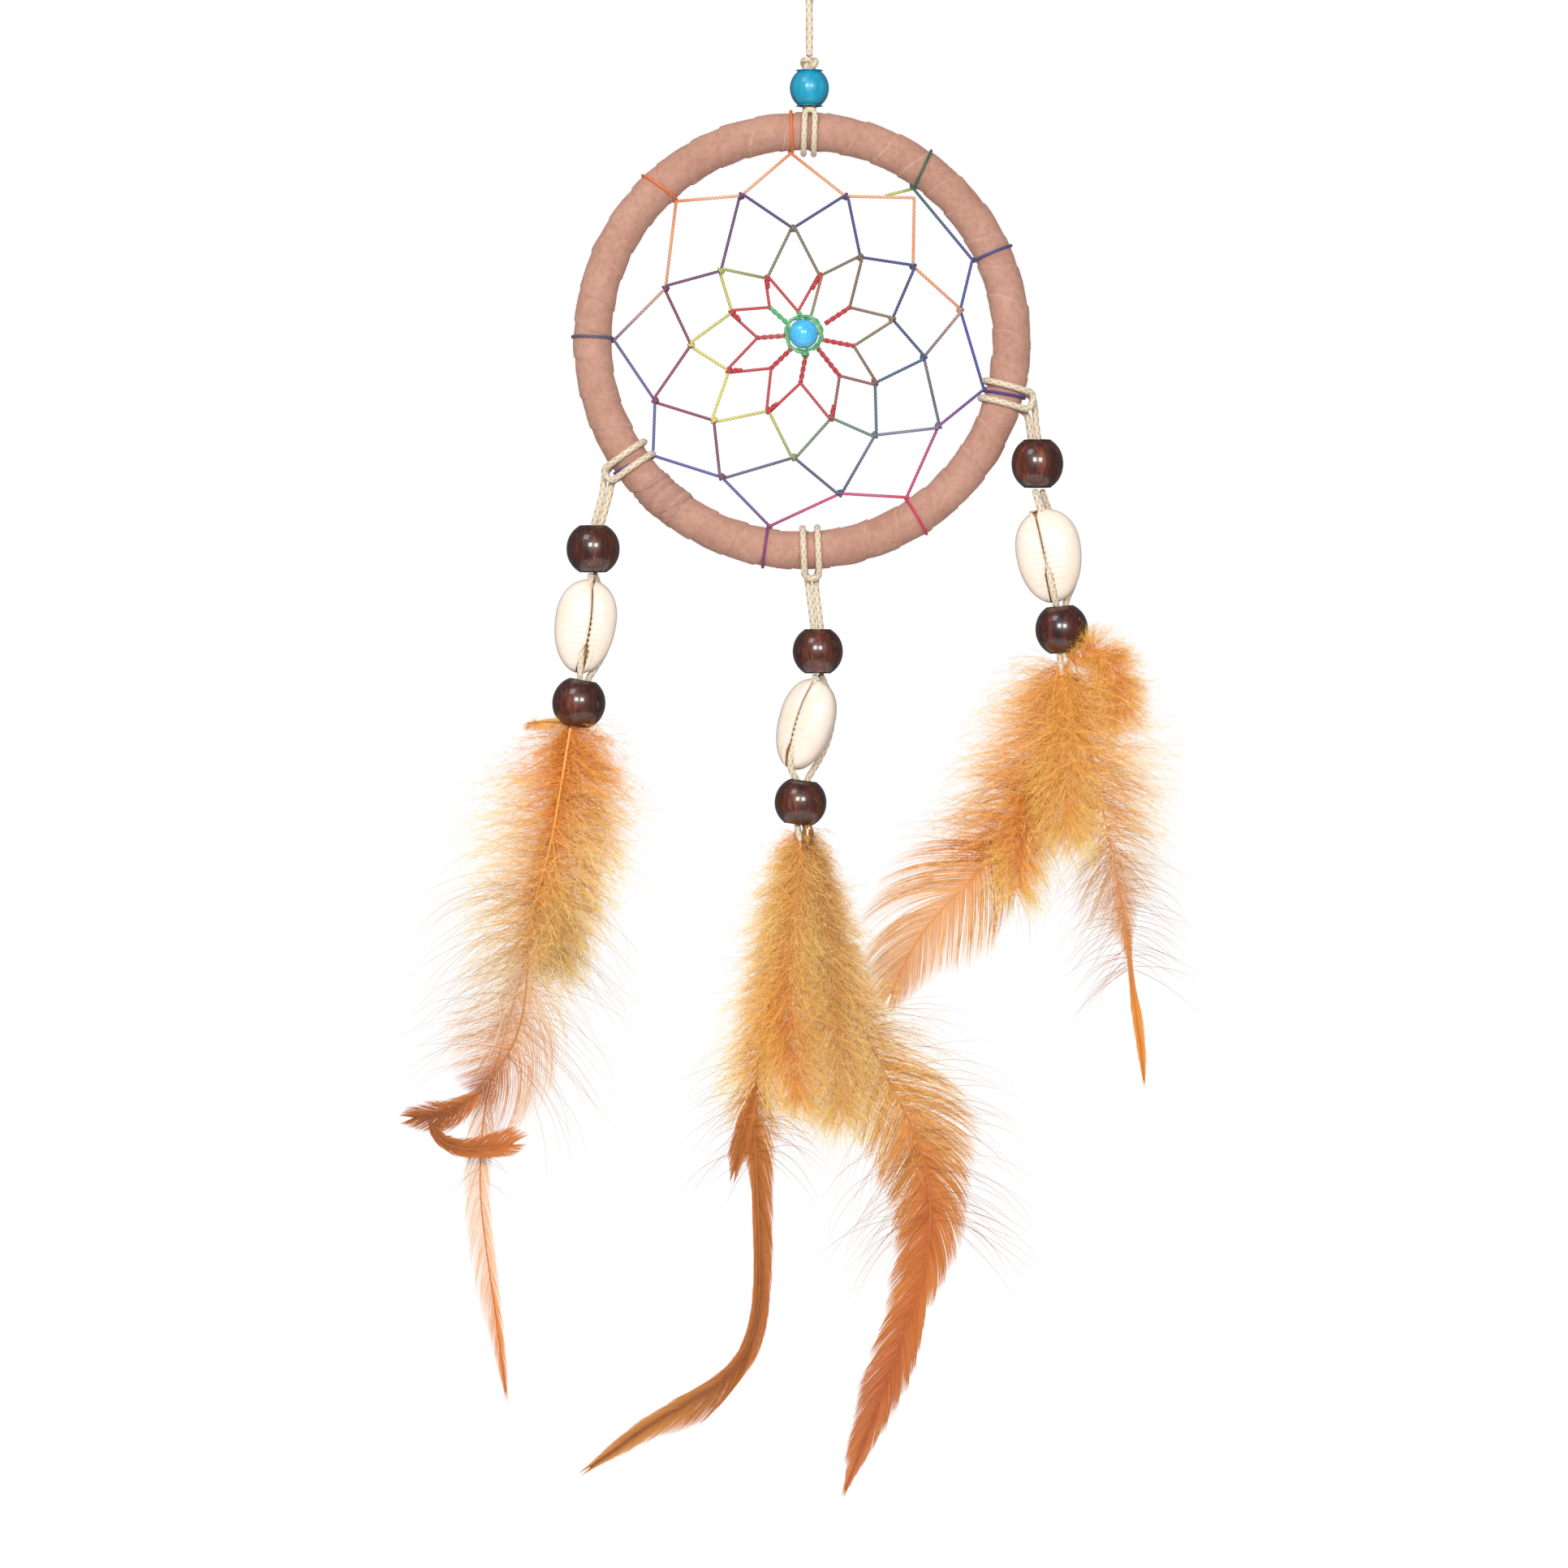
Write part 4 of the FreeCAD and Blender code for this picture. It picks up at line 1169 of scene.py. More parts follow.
    bead_place: tuple[float, float] = (0.3, 1.4)
    bead_radius: float = 0.0029

    def spot(self, name: str) -> Array:
        """A stop of the thread, in metres in the object's frame."""
        return self.inside(*(self.turns.get(name) or self.knots[name])[:2])

    @staticmethod
    def inside(right: float, up: float, back: float = 0.0) -> Array:
        """A place in the hoop from millimetres off its centre, in metres in the object's frame."""
        return HOOP_CENTRE + np.array((right, back, up)) * MM

    def hoop_turn(self, name: str) -> Array:
        """The thread's way over the front of the band, round its back and home again."""
        x, z, outer = self.turns[name]
        inner = math.degrees(math.atan2(z, x)) % 360
        swing = np.linspace(0, math.tau, 61)
        over = np.sin(swing / 2) ** 2
        angles = inner + (((outer - inner + 180) % 360) - 180) * over
        aside = 0.00033 * (swing / math.pi - 1)
        return np.array([hoop_point(a, -self.loop_radius * math.cos(s), self.loop_radius * math.sin(s), d)
                         for a, s, d in zip(angles, swing, aside)])

    def half_hitch(self, spot: Array, before: Array, after: Array) -> Array:
        """A small round turn about an earlier run at a knot."""
        come, go = unit(spot - before), unit(after - spot)
        across = unit(come + go)
        aside = unit(np.cross(across, FRONT))
        swing = np.linspace(-0.5 * math.pi, 2.6 * math.pi, 26)
        size = self.hitch_radius
        return (spot + aside * (size * 0.9 * np.cos(swing))[:, None] + FRONT * (size * np.sin(swing))[:, None]
                + across * (0.00022 * (swing / math.pi - 1))[:, None])

    def thread_path(self) -> tuple[Array, Array]:
        """The whole thread's line and its colour at each point."""
        seen: set[str] = set()
        stops = [self.spot(name) for name, _ in self.way]
        points: list[Array] = []
        marks: list[tuple[int, Colour]] = []
        wraps: list[tuple[int, Colour]] = []
        for index, (name, colour) in enumerate(self.way):
            marks.append((sum(len(p) for p in points), colour))
            if name in self.turns:
                wraps += [(marks[-1][0] + share, self.wrap_tints[name]) for share in (4, 30, 56)]
                points.append(self.hoop_turn(name))
            elif name in seen and 0 < index < len(stops) - 1:
                points.append(self.half_hitch(stops[index], stops[index - 1], stops[index + 1]))
            else:
                drift = np.array((0.0, 0.00012 * math.sin(index * 2.4), 0.0))
                points.append((stops[index] + drift)[None, :])
            seen.add(name)
        line = np.concatenate(points)
        along = arc_lengths(line)
        places = [(along[start - 1] + along[start]) / 2 if start else 0.0 for start, _ in marks]
        places = np.array(places + [along[start] for start, _ in wraps])
        order = np.argsort(places)
        places = places[order]
        path = evenly(line, self.ring_step)
        return path, blended(arc_lengths(path), places, linear([c for _, c in marks + wraps])[order])

    def ply_tube(self, parts: MeshParts, path: Array, tint: Array, radius: float) -> None:
        """Add a three-ply twisted thread along a path."""
        along = arc_lengths(path)[:, None]
        turn = circle(self.around)
        lobe = np.abs(np.cos(1.5 * (turn - math.tau * along / self.ply_pitch)))
        reach = radius * (0.66 + 0.34 * lobe ** 0.6)
        # valley marks the dips between the plies, which the thread's finish paints as shade
        parts.add(skin(path, reach, turn), tube_faces(len(path), self.around),
                  tint=np.repeat(np.broadcast_to(tint, path.shape), self.around, axis=0), valley=1 - lobe ** 0.8)

    def doubled_run(self, parts: MeshParts, start: Array, end: Array, colour: Colour,
                    swell: float = 0.00022) -> None:
        """Add two threads laid round each other from start to end."""
        count = max(6, int(np.linalg.norm(end - start) / self.ring_step))
        share = np.linspace(0, 1, count)[:, None]
        base = start + (end - start) * share
        direction = unit(end - start)
        aside = unit(np.cross(direction, (0.0, 1.0, 0.0)))
        swing = math.tau * share * np.linalg.norm(end - start) / self.doubled_pitch
        for shift in (0.0, math.pi):
            path = base + swell * (aside * np.cos(swing + shift) + FRONT * np.sin(swing + shift))
            self.ply_tube(parts, path, linear(colour), self.radius)

    def make(self) -> None:
        """Build the thread, the doubled stretches, the centre ring and the bead."""
        parts = MeshParts()
        path, tint = self.thread_path()
        self.ply_tube(parts, path, tint, self.radius)
        for start, end, share, colour in self.doubled:
            first, last = self.spot(start), self.spot(end)
            self.doubled_run(parts, first, first + (last - first) * share, colour)
        for start, place, colour in self.spokes:
            self.doubled_run(parts, self.spot(start), self.inside(*place), colour)
        self.first_knot(parts)
        self.centre_ring(parts)
        fix(parts.build("web_of_dyed_thread", THREAD), "hoop",
            ["web_thread", "web_hoop_loops"])
        self.bead()

    def first_knot(self, parts: MeshParts) -> None:
        """Add the knot that ties the thread's start at the hoop."""
        coil = np.linspace(0, 6 * math.pi, 110)
        path = self.spot("H9") + np.stack(
            [0.00062 * np.cos(coil), -0.00062 * np.sin(coil), 0.00016 * coil / math.pi - 0.0005], axis=1)
        self.ply_tube(parts, path, linear((44, 96, 74)), self.radius)

    def centre_ring(self, parts: MeshParts) -> None:
        """Add the green rounds that hold the bead, and the last knot with its short tail."""
        swing = np.linspace(0, 4.4 * math.pi, 420)
        middle = self.inside(*self.bead_place)
        reach = self.ring_radius + 0.00022 * np.sin(swing * 3.7) + 0.00012 * np.sin(swing * 8.3)
        depth = 0.00042 * np.sin(swing * 4.5 + 0.6)
        path = middle + np.stack([reach * np.cos(swing), depth, reach * np.sin(swing)], axis=1)
        blend = (0.5 + 0.5 * np.sin(swing * 1.7))[:, None]
        tint = linear((70, 178, 108)) * blend + linear((132, 204, 136)) * (1 - blend)
        self.ply_tube(parts, path, tint, self.radius)
        knot = self.inside(0.6, -2.5, -0.5)
        coil = np.linspace(0, 5 * math.pi, 90)
        turns = knot + np.stack([0.0005 * np.cos(coil), 0.0005 * np.sin(coil), 0.0001 * coil / math.pi - 0.0003],
                                axis=1) * (1.0, 1.0, 1.6)
        self.ply_tube(parts, turns, linear((84, 176, 112)), self.radius)
        through = np.linspace(-0.0034, 0.0034, 30)
        hole = middle + np.stack([through, 0 * through, 0 * through], axis=1)
        self.ply_tube(parts, hole, linear((84, 176, 112)), self.radius)

    def bead(self) -> None:
        """Turn the round glass bead about its level hole."""
        rows, columns = 40, 56
        lean = np.linspace(0.2, math.pi - 0.2, rows)
        turn = circle(columns)
        radius = np.concatenate([self.bead_radius * np.sin(lean), np.full(6, self.bead_radius * math.sin(0.2))])
        level = np.concatenate([self.bead_radius * np.cos(lean) * 0.99,
                                np.linspace(-1, 1, 8)[1:-1] * self.bead_radius * math.cos(0.2) * 0.97])
        points = np.stack([np.broadcast_to(level[:, None], (rows + 6, columns)), radius[:, None] * np.cos(turn),
                           radius[:, None] * np.sin(turn)], axis=-1)
        middle = self.inside(*self.bead_place)
        parts = MeshParts().add(points + middle, [grid_faces(rows + 6, columns, wrap_rows=True)])
        fix(parts.build("blue_glass_bead", BLUE_GLASS), "hoop", ["centre_bead"])


# ---- feathers


@dataclass(frozen=True)
class Plume:
    """One feather: its shaft's route and how its barbs change along it.

    Rows start with the place along the shaft from 0 to 1. Then comes one number for both sides, or one for the left
    and one for the right. Lengths are in millimetres and angles in degrees.
    """

    name: str
    shaft: tuple[Point, ...]
    reach: tuple[tuple[float, ...], ...]
    splay: tuple[tuple[float, ...], ...]
    tints: tuple[tuple[float, Colour, Colour], ...]
    soft: tuple[tuple[float, float], ...] = ((0, 1), (1, 1))
    down_per_mm: float = 17.0
    vane_per_mm: float = 7.0
    vane_width: float = 0.13
    strays: tuple[float, float, float, int] = (0.3, 0.7, 20.0, 0)
    shaft_width: tuple[float, float] = (0.3, 0.06)
    shaft_tint: tuple[Colour, Colour] = ((236, 168, 92), (176, 92, 40))
    depth: float = 24.0
    clump: float = 4.0
    tuft: float = 4.5
    seed: int = 1


@dataclass
class Barbs:
    """A set of barbs: one number of each kind for every barb, in metres and radians."""

    place: Array  # root's place along the shaft, from 0 to 1
    length: Array
    angle: Array  # from the shaft
    lift: Array  # out of the feather's plane
    width: Array
    roll: Array  # turn about the barb's own line
    shade: Array  # brightness


class Barber:
    """Grows a plume's barbs as thin curved ribbons with fine barbules."""

    DOWN_TONE = (1.14, 1.34, 1.14)
    VANE_TONE = (0.88, 0.8, 0.56)
    FLUFF_SIDEWAYS, FLUFF_FORWARD, FLUFF_DOWN, FLUFF_SOFT = 0.0115, 0.0075, 0.015, 0.005
    BARBULES, BARBULE_LENGTH, BARBULE_HALF_WIDTH = 18, 0.0019, 0.000026
    SHAFT_AROUND = 10

    def __init__(self, plume: Plume) -> None:
        """Read the shaft's line and prepare the random numbers."""
        self.plume = plume
        self.rng = np.random.default_rng(plume.seed)
        self.path = evenly(spline_line(metres(plume.shaft), 12), 0.0005)
        self.along = arc_lengths(self.path)
        self.tangent = unit(np.gradient(self.path, axis=0))
        self.tone = self.DOWN_TONE

    def at(self, place: Array) -> tuple[Array, Array]:
        """Points and directions of the shaft at places from 0 to 1."""
        stops = place * self.along[-1]
        spots = blended(stops, self.along, self.path)
        heads = unit(blended(stops, self.along, self.tangent))
        beyond = np.maximum(stops - self.along[-1], 0.0)
        return spots + self.tangent[-1] * beyond[..., None], heads

    def rows(self, table: Sequence[Sequence[float]], place: Array, column: int = 1) -> Array:
        """Read one column of a table at places along the shaft."""
        return np.interp(place, [row[0] for row in table], [row[:column + 1][-1] for row in table])

    def tint(self, place: Array) -> tuple[Array, Array]:
        """Root and tip colours of barbs at places along the shaft."""
        stops, roots, tips = zip(*self.plume.tints)
        return blended(place, stops, linear(roots)), blended(place, stops, linear(tips))

    def ribbons(self, barbs: Barbs, side: float, bend: Array, points: int, wander: float) \
            -> tuple[MeshParts, Array, Array]:
        """Grow curved ribbons from the shaft.

        Args:
            barbs: the barbs, with their angles at the root.
            side: -1 for the left and 1 for the right.
            bend: how much of the angle is lost by the tip.
            points: points along each ribbon.
            wander: how unevenly they curve.

        Returns:
            The mesh parts, the ribbons' lines and their directions.
        """
        root, head = self.at(barbs.place)
        level = unit(np.cross(head, FRONT)) * -1.0
        count = len(root)
        wave = self.rng.normal(0, wander, (count, 2))
        phase = self.rng.uniform(0, 6.28, (count, 2))
        lines = np.zeros((count, points, 3))
        spot = root.copy()
        full = barbs.angle / (1 - bend / 2)
        for index, u in enumerate(np.linspace(0, 1, points)):
            now = full * (1 - bend * u) + wave[:, 0] * np.sin(u * 3.6 + phase[:, 0])
            out = barbs.lift + wave[:, 1] * np.sin(u * 4.2 + phase[:, 1])
            aside = level * (side * np.cos(out))[:, None] + FRONT * np.sin(out)[:, None]
            lines[:, index] = spot
            spot = spot + unit(head * np.cos(now)[:, None] + aside * np.sin(now)[:, None]) \
                * (barbs.length / (points - 1))[:, None]
        return self.strips(barbs, lines)

    def following(self, barbs: Barbs, side: float, points: int = 9) -> MeshParts:
        """Lay ribbons that keep to the shaft's bends as they run out from it.

        Args:
            barbs: the barbs, with their mean angles.
            side: -1 for the left and 1 for the right.
            points: points along each ribbon.

        Returns:
            The mesh parts.
        """
        share = np.linspace(0, 1, points)[None, :]
        run = barbs.length * np.cos(barbs.angle) / self.along[-1]
        spot, head = self.at(barbs.place[:, None] + share * run[:, None])
        level = unit(np.cross(head, FRONT)) * -side
        out = (barbs.length * np.sin(barbs.angle))[:, None] * (1.45 * share - 0.45 * share ** 2)
        lines = spot + level * (out * np.cos(barbs.lift)[:, None])[..., None] \
            + FRONT * (out * np.sin(barbs.lift)[:, None])[..., None]
        return self.strips(barbs, lines)[0]

    def held_in(self, lines: Array) -> Array:
        """Bend lines that reach too far from the designed part softly back towards it."""
        low = np.array(CAD_LOW) - (self.FLUFF_SIDEWAYS, self.FLUFF_FORWARD, self.FLUFF_DOWN)
        high = np.array(CAD_HIGH) + (self.FLUFF_SIDEWAYS, self.FLUFF_FORWARD, 0.0)
        soft = self.FLUFF_SOFT
        over, under = np.maximum(lines - (high - soft), 0), np.maximum(low + soft - lines, 0)
        return lines - over + soft * np.tanh(over / soft) + under - soft * np.tanh(under / soft)

    def shaded(self, barbs: Barbs, share: Array, corners: int, gain: float = 1.0) -> Array:
        """Colour points along the barbs.

        Args:
            barbs: the barbs.
            share: how far from the root's colour to the tip's, one row per barb.
            corners: mesh points made for each.
            gain: extra brightness.

        Returns:
            One linear colour per mesh point.
        """
        root, tip = self.tint(barbs.place)
        mixed = root[:, None] + (tip - root)[:, None] * share[..., None]
        mixed = np.clip(mixed * barbs.shade[:, None, None] * self.tone * gain, 0, 1)
        return np.repeat(mixed.reshape(-1, 3), corners, axis=0)

    def strips(self, barbs: Barbs, lines: Array) -> tuple[MeshParts, Array, Array]:
        """Turn lines into coloured ribbons.

        Args:
            barbs: the barbs.
            lines: their lines.

        Returns:
            The mesh parts, the lines and their directions.
        """
        lines = self.held_in(lines)
        count, points = lines.shape[:2]
        share = np.linspace(0, 1, points)
        heads = unit(np.gradient(lines, axis=1))
        flat = unit(np.cross(heads, FRONT))
        upright = np.cross(flat, heads)
        across = flat * np.cos(barbs.roll)[:, None, None] + upright * np.sin(barbs.roll)[:, None, None]
        taper = np.clip((1 - share ** 2.2), 0.12, 1)[None, :, None]
        half = across * (barbs.width[:, None, None] / 2) * taper
        faces = grid_faces(points, 2, wrap=False)[None] + (np.arange(count) * points * 2)[:, None, None]
        parts = MeshParts().add(np.stack([lines - half, lines + half], axis=2), [faces.reshape(-1, 4)],
                                tint=self.shaded(barbs, (share ** 0.8)[None, :], 2))
        return parts, lines, heads

    def barbules(self, parts: MeshParts, barbs: Barbs, lines: Array, heads: Array) -> None:
        """Add fine slivers all round each ribbon's line."""
        rng = self.rng
        count, points = lines.shape[:2]
        share = rng.uniform(0.04, 0.98, (count, self.BARBULES))
        at = share * (points - 1)
        low = np.minimum(at.astype(int), points - 2)
        part = (at - low)[..., None]
        index = np.arange(count)[:, None]
        foot = lines[index, low] * (1 - part) + lines[index, low + 1] * part
        head = heads[index, low]
        scatter = rng.normal(0, 1, foot.shape)
        scatter = unit(scatter - head * np.sum(scatter * head, axis=-1, keepdims=True))
        lean = rng.uniform(0.45, 1.0, share.shape)[..., None]
        direction = head * np.cos(lean) + scatter * np.sin(lean)
        swell = 0.35 + 0.65 * np.sin(share * 3.0)
        tall = (self.BARBULE_LENGTH * swell * rng.uniform(0.6, 1.2, share.shape))[..., None]
        aside = unit(np.cross(direction, rng.normal(0, 1, foot.shape))) * self.BARBULE_HALF_WIDTH
        mesh = np.stack([foot - aside, foot + aside, foot + direction * tall], axis=2)
        parts.add(mesh, [np.arange(share.size * 3).reshape(-1, 3)],
                  tint=self.shaded(barbs, np.clip(share + 0.2, 0, 1), 3, 1.05))

    def grow(self) -> tuple[MeshParts, MeshParts]:
        """Grow the whole plume: its down and its vane, either of which may stay empty."""
        down, vane = MeshParts(), MeshParts()
        total = self.along[-1] / MM
        for column, side in enumerate(Side, 1):
            self.tone = self.DOWN_TONE
            self._down(down, side.value, column, int(total * self.plume.down_per_mm))
            self.tone = self.VANE_TONE
            self._vane(vane, side.value, column, int(total * self.plume.vane_per_mm))
            self._strays(vane, side.value)
        return down, vane

    def _down(self, into: MeshParts, side: float, column: int, count: int) -> None:
        """Grow one side's downy barbs."""
        rng, plume = self.rng, self.plume
        place = np.sort(rng.uniform(0, 1, count))
        place = place[rng.uniform(0, 1, count) < self.rows(plume.soft, place)]
        count = len(place)
        if not count:
            return
        group = ripple(place * 38, plume.seed * 7 + column)
        length = self.rows(plume.reach, place, column) * MM * (1 + 0.2 * group) \
            * (0.42 + 0.66 * rng.uniform(0, 1, count) ** 0.8)
        angle = np.radians(self.rows(plume.splay, place, column) + rng.normal(0, 14, count) + 7 * group)
        tufts = self.along[-1] / (plume.tuft * MM)
        middle = (np.floor(place * tufts + 0.3 * column) + 0.5 - 0.3 * column + 0.3 * group) / tufts
        angle += 0.75 * np.arctan2((place - middle) * self.along[-1] * np.sin(angle), length)
        lift = np.radians(rng.normal(0, plume.depth, count))
        shade = rng.uniform(0.84, 1.08, count) * (1 + 0.12 * group)
        bend = rng.uniform(0.1, 0.6, count)
        barbs = Barbs(place, length, angle, lift, rng.uniform(0.00006, 0.00010, count),
                      rng.uniform(0, math.pi, count), shade)
        parts, lines, heads = self.ribbons(barbs, side, bend, 7, 0.34)
        self.barbules(parts, barbs, lines, heads)
        into.join(parts)

    def _vane(self, into: MeshParts, side: float, column: int, count: int) -> None:
        """Grow one side's flat vane of close barbs, in clumps."""
        rng, plume = self.rng, self.plume
        place = np.linspace(0.01, 0.995, count) + rng.normal(0, 0.0006, count)
        place = np.clip(place[rng.uniform(0, 1, count) >= self.rows(plume.soft, place)], 0, 1)
        count = len(place)
        if not count:
            return
        clumps = ripple(place * 60, plume.seed * 5 + column, 7)
        length = self.rows(plume.reach, place, column) * MM * (1 + 0.05 * clumps) * rng.uniform(0.93, 1.03, count)
        angle = np.radians(self.rows(plume.splay, place, column)) \
            * (1 + 0.03 * plume.clump * clumps + rng.normal(0, 0.03, count))
        lift = np.radians(6 * ripple(place * 24, plume.seed * 3 + column) + rng.normal(0, 1.5, count))
        shade = rng.uniform(0.88, 1.08, count) * (1 + 0.05 * clumps)
        into.join(self.following(Barbs(place, length, angle, lift, np.full(count, plume.vane_width * MM),
                                       rng.normal(0, 0.35, count), shade), side))

    def _strays(self, into: MeshParts, side: float) -> None:
        """Grow one side's few long loose barbs."""
        low, high, long, count = self.plume.strays
        if not count:
            return
        rng = self.rng
        place = rng.uniform(low, high, count)
        length = long * MM * rng.uniform(0.5, 1.1, count)
        angle = np.radians(rng.normal(54, 10, count))
        lift = np.radians(rng.normal(0, 16, count))
        bend = rng.uniform(0.3, 0.9, count)
        barbs = Barbs(place, length, angle, lift, np.full(count, 0.000085), rng.normal(0, 0.5, count),
                      rng.uniform(0.55, 0.9, count))
        into.join(self.ribbons(barbs, side, bend, 12, 0.1)[0])

    def shaft(self) -> MeshParts:
        """Build the tapering shaft."""
        wide, narrow = self.plume.shaft_width
        path = evenly(self.path, 0.0006)
        share = arc_lengths(path) / self.along[-1]
        radius = (wide + (narrow - wide) * share ** 0.7) * MM / 2
        turn = circle(self.SHAFT_AROUND)
        start, end = (linear(c) for c in self.plume.shaft_tint)
        tint = start + (end - start) * share[:, None]
        return MeshParts().add(skin(path, radius[:, None] * (1 + 0.12 * np.cos(2 * turn)), turn),
                               tube_faces(len(path), len(turn)), tint=np.repeat(tint, len(turn), axis=0))


@dataclass
class GlueDrop:
    """A small glossy lump where the quills are stuck in."""

    centre: Point
    width: float
    height: float
    body: str = "lower"

    def make(self, side: str) -> Thing:
        """Build the lump and fix it to its side's body."""
        rise = np.linspace(-math.pi / 2, math.pi / 2, 26)[:, None]
        turn = circle(36)
        lumps = 1 + 0.16 * ripple(rise * 2.2 + 2 * np.cos(turn), 31) + 0.12 * ripple(rise * 5 + 3 * np.sin(turn), 37)
        across = self.width / 2 * np.cos(rise) ** 0.7 * lumps
        points = np.stack([across * np.cos(turn), 0.8 * across * np.sin(turn),
                           self.height / 2 * np.sin(rise) * lumps], axis=-1)
        parts = MeshParts().add(turn_about_y(points, 6.0, self.centre), [grid_faces(26, 36)])
        return fix(parts.build(f"{side}_glue", GLUE), f"{side}_{self.body}")


PALE, SOFT, WARM, TAN = (250, 200, 134), (246, 178, 96), (236, 150, 66), (232, 178, 118)
BROWN, RUST = (140, 74, 32), (196, 104, 46)


@dataclass
class Pendant:
    """One hanging string: its hitch, strands, beads, shell and plumes; the four routes are in millimetres."""

    side: str
    hitch_angle: float
    hitch_spread: float
    first_end: list[Point]
    second_end: list[Point]
    hitch_length: float
    blend_span: tuple[Point, Point]
    upper_bead: tuple[Point, float, float, float]
    lower_bead: tuple[Point, float, float, float]
    shell: Cowrie
    front: list[Point]
    back: list[Point]
    strand_lengths: tuple[float, float]
    strand_end: Ends
    plumes: tuple[tuple[Plume, tuple[str, ...]], ...]
    glue: tuple

    def make_cords(self) -> None:
        """Build the hitch that runs on into the upper bead, and the two strands below it."""
        cord = BraidedCord(f"{self.side}_hitch_strands", hitch_route(
            self.hitch_angle, self.hitch_spread, PENDANT_LEG, metres(self.first_end), metres(self.second_end)))
        line = cord.line()
        piece = cord.tube(line).build(cord.name, CORD)
        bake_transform(piece)
        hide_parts(f"{self.side}_hitch_cord", f"{self.side}_upper_cords")
        for route, place, length in zip((self.front, self.back), ("front", "back"), self.strand_lengths):
            BraidedCord(f"{self.side}_{place}_strand", metres(route)).make(
                f"{self.side}_lower", [f"{self.side}_{place}_cord"], length, self.strand_end, "hanging")

    def make(self) -> None:
        """Build the beads, the shell and the plumes."""
        for place, body, seed in (("upper_bead", "upper", 5), ("lower_bead", "lower", 8)):
            centre, width, height, tilt = getattr(self, place)
            bead = TurnedBead(f"{self.side}_{place}_turned", centre, width, height, 0.0020, BROWN_WOOD, tilt,
                              seed=seed + len(self.side))
            bead.make(f"{self.side}_{body}", "brown_wood", [f"{self.side}_{place}"])
        self.shell.make(f"{self.side}_lower", "cowrie_shell", [f"{self.side}_shell"])
        for plume, nodes in self.plumes:
            self.make_plume(plume, nodes)
        GlueDrop(*self.glue).make(self.side)

    def make_plume(self, plume: Plume, nodes: tuple[str, ...]) -> None:
        """Grow one plume and fix its down, vane and shaft."""
        barber = Barber(plume)
        down, vane = barber.grow()
        body = f"{self.side}_feathers"
        fix(barber.shaft().build(f"{plume.name}_shaft", QUILL), body, nodes)
        if down.points:
            fix(down.build(f"{plume.name}_down", DOWN, smooth=False), body)
        if vane.points:
            fix(vane.build(f"{plume.name}_vane", VANE), body)


LEFT_LONG = Plume(
    "left_long_plume",
    ((-46.9, -0.5, -166.6), (-48.6, -3.2, -177.6), (-50.7, -3.9, -190.4), (-53.1, -3.4, -198.4),
     (-54.7, -2.4, -204.8), (-55.5, -1, -212.8), (-55.7, 0.2, -219.2), (-57.1, 1, -227.2), (-60.3, 1.6, -233.6),
     (-65.1, 1.9, -239.2), (-69.9, 1.9, -243.2), (-73.4, 1.5, -245.4), (-74.2, 0.9, -247.6), (-71.2, 0.5, -249.5),
     (-67, 0.5, -250.2), (-60.6, 0.8, -250.8)),
    reach=((0, 12), (0.056, 15.5, 17), (0.14, 19.5, 20.5), (0.225, 20.5), (0.31, 19.5, 18.5), (0.39, 17, 15),
           (0.445, 17, 14), (0.5, 21, 20), (0.58, 19, 21), (0.65, 13, 18), (0.70, 8, 9), (0.74, 2.6, 3), (0.85, 1.2),
           (1, 1)),
    splay=((0, 50), (0.056, 60, 62), (0.14, 66, 68), (0.225, 69, 68), (0.31, 66, 64), (0.39, 60, 54), (0.445, 56, 46),
           (0.5, 46, 34), (0.58, 38, 32), (0.65, 30, 36), (0.72, 28, 30), (0.8, 30), (0.92, 22, 30), (1, 16, 24)),
    soft=((0, 1), (0.42, 1), (0.5, 0.3), (0.55, 0), (1, 0)),
    tints=((0, (220, 124, 48), WARM), (0.1, (222, 120, 40), SOFT), (0.2, (226, 132, 50), PALE),
           (0.3, (226, 136, 56), (244, 196, 128)), (0.42, (222, 150, 84), (236, 190, 130)),
           (0.5, (234, 188, 160), (250, 222, 208)), (0.62, (232, 168, 134), (248, 206, 182)),
           (0.68, (190, 106, 58), (216, 140, 92)), (0.74, (132, 64, 26), (190, 100, 44)),
           (1, (150, 76, 28), (212, 122, 44))),
    vane_per_mm=8.5, vane_width=0.08, strays=(0.3, 0.66, 27, 120), shaft_width=(0.55, 0.24),
    shaft_tint=((240, 176, 92), (120, 60, 30)), depth=20, seed=41)

LEFT_FRAY = Plume(
    "left_frayed_bend",
    ((-64.5, 1.4, -239), (-69.5, 1.2, -242.6), (-73.5, 1, -244), (-78, 0.8, -244.4)),
    reach=((0, 4, 5), (0.3, 6, 7), (0.7, 6, 5), (1, 3)),
    splay=((0, 20, 30), (0.5, 26, 34), (1, 12, 16)),
    soft=((0, 0), (1, 0)),
    tints=((0, (196, 112, 62), (222, 150, 98)), (0.4, (142, 70, 30), (206, 120, 62)),
           (1, (120, 58, 24), (190, 104, 50))),
    vane_per_mm=15, vane_width=0.13, shaft_width=(0.3, 0.1), shaft_tint=(BROWN, BROWN), clump=14, seed=44)

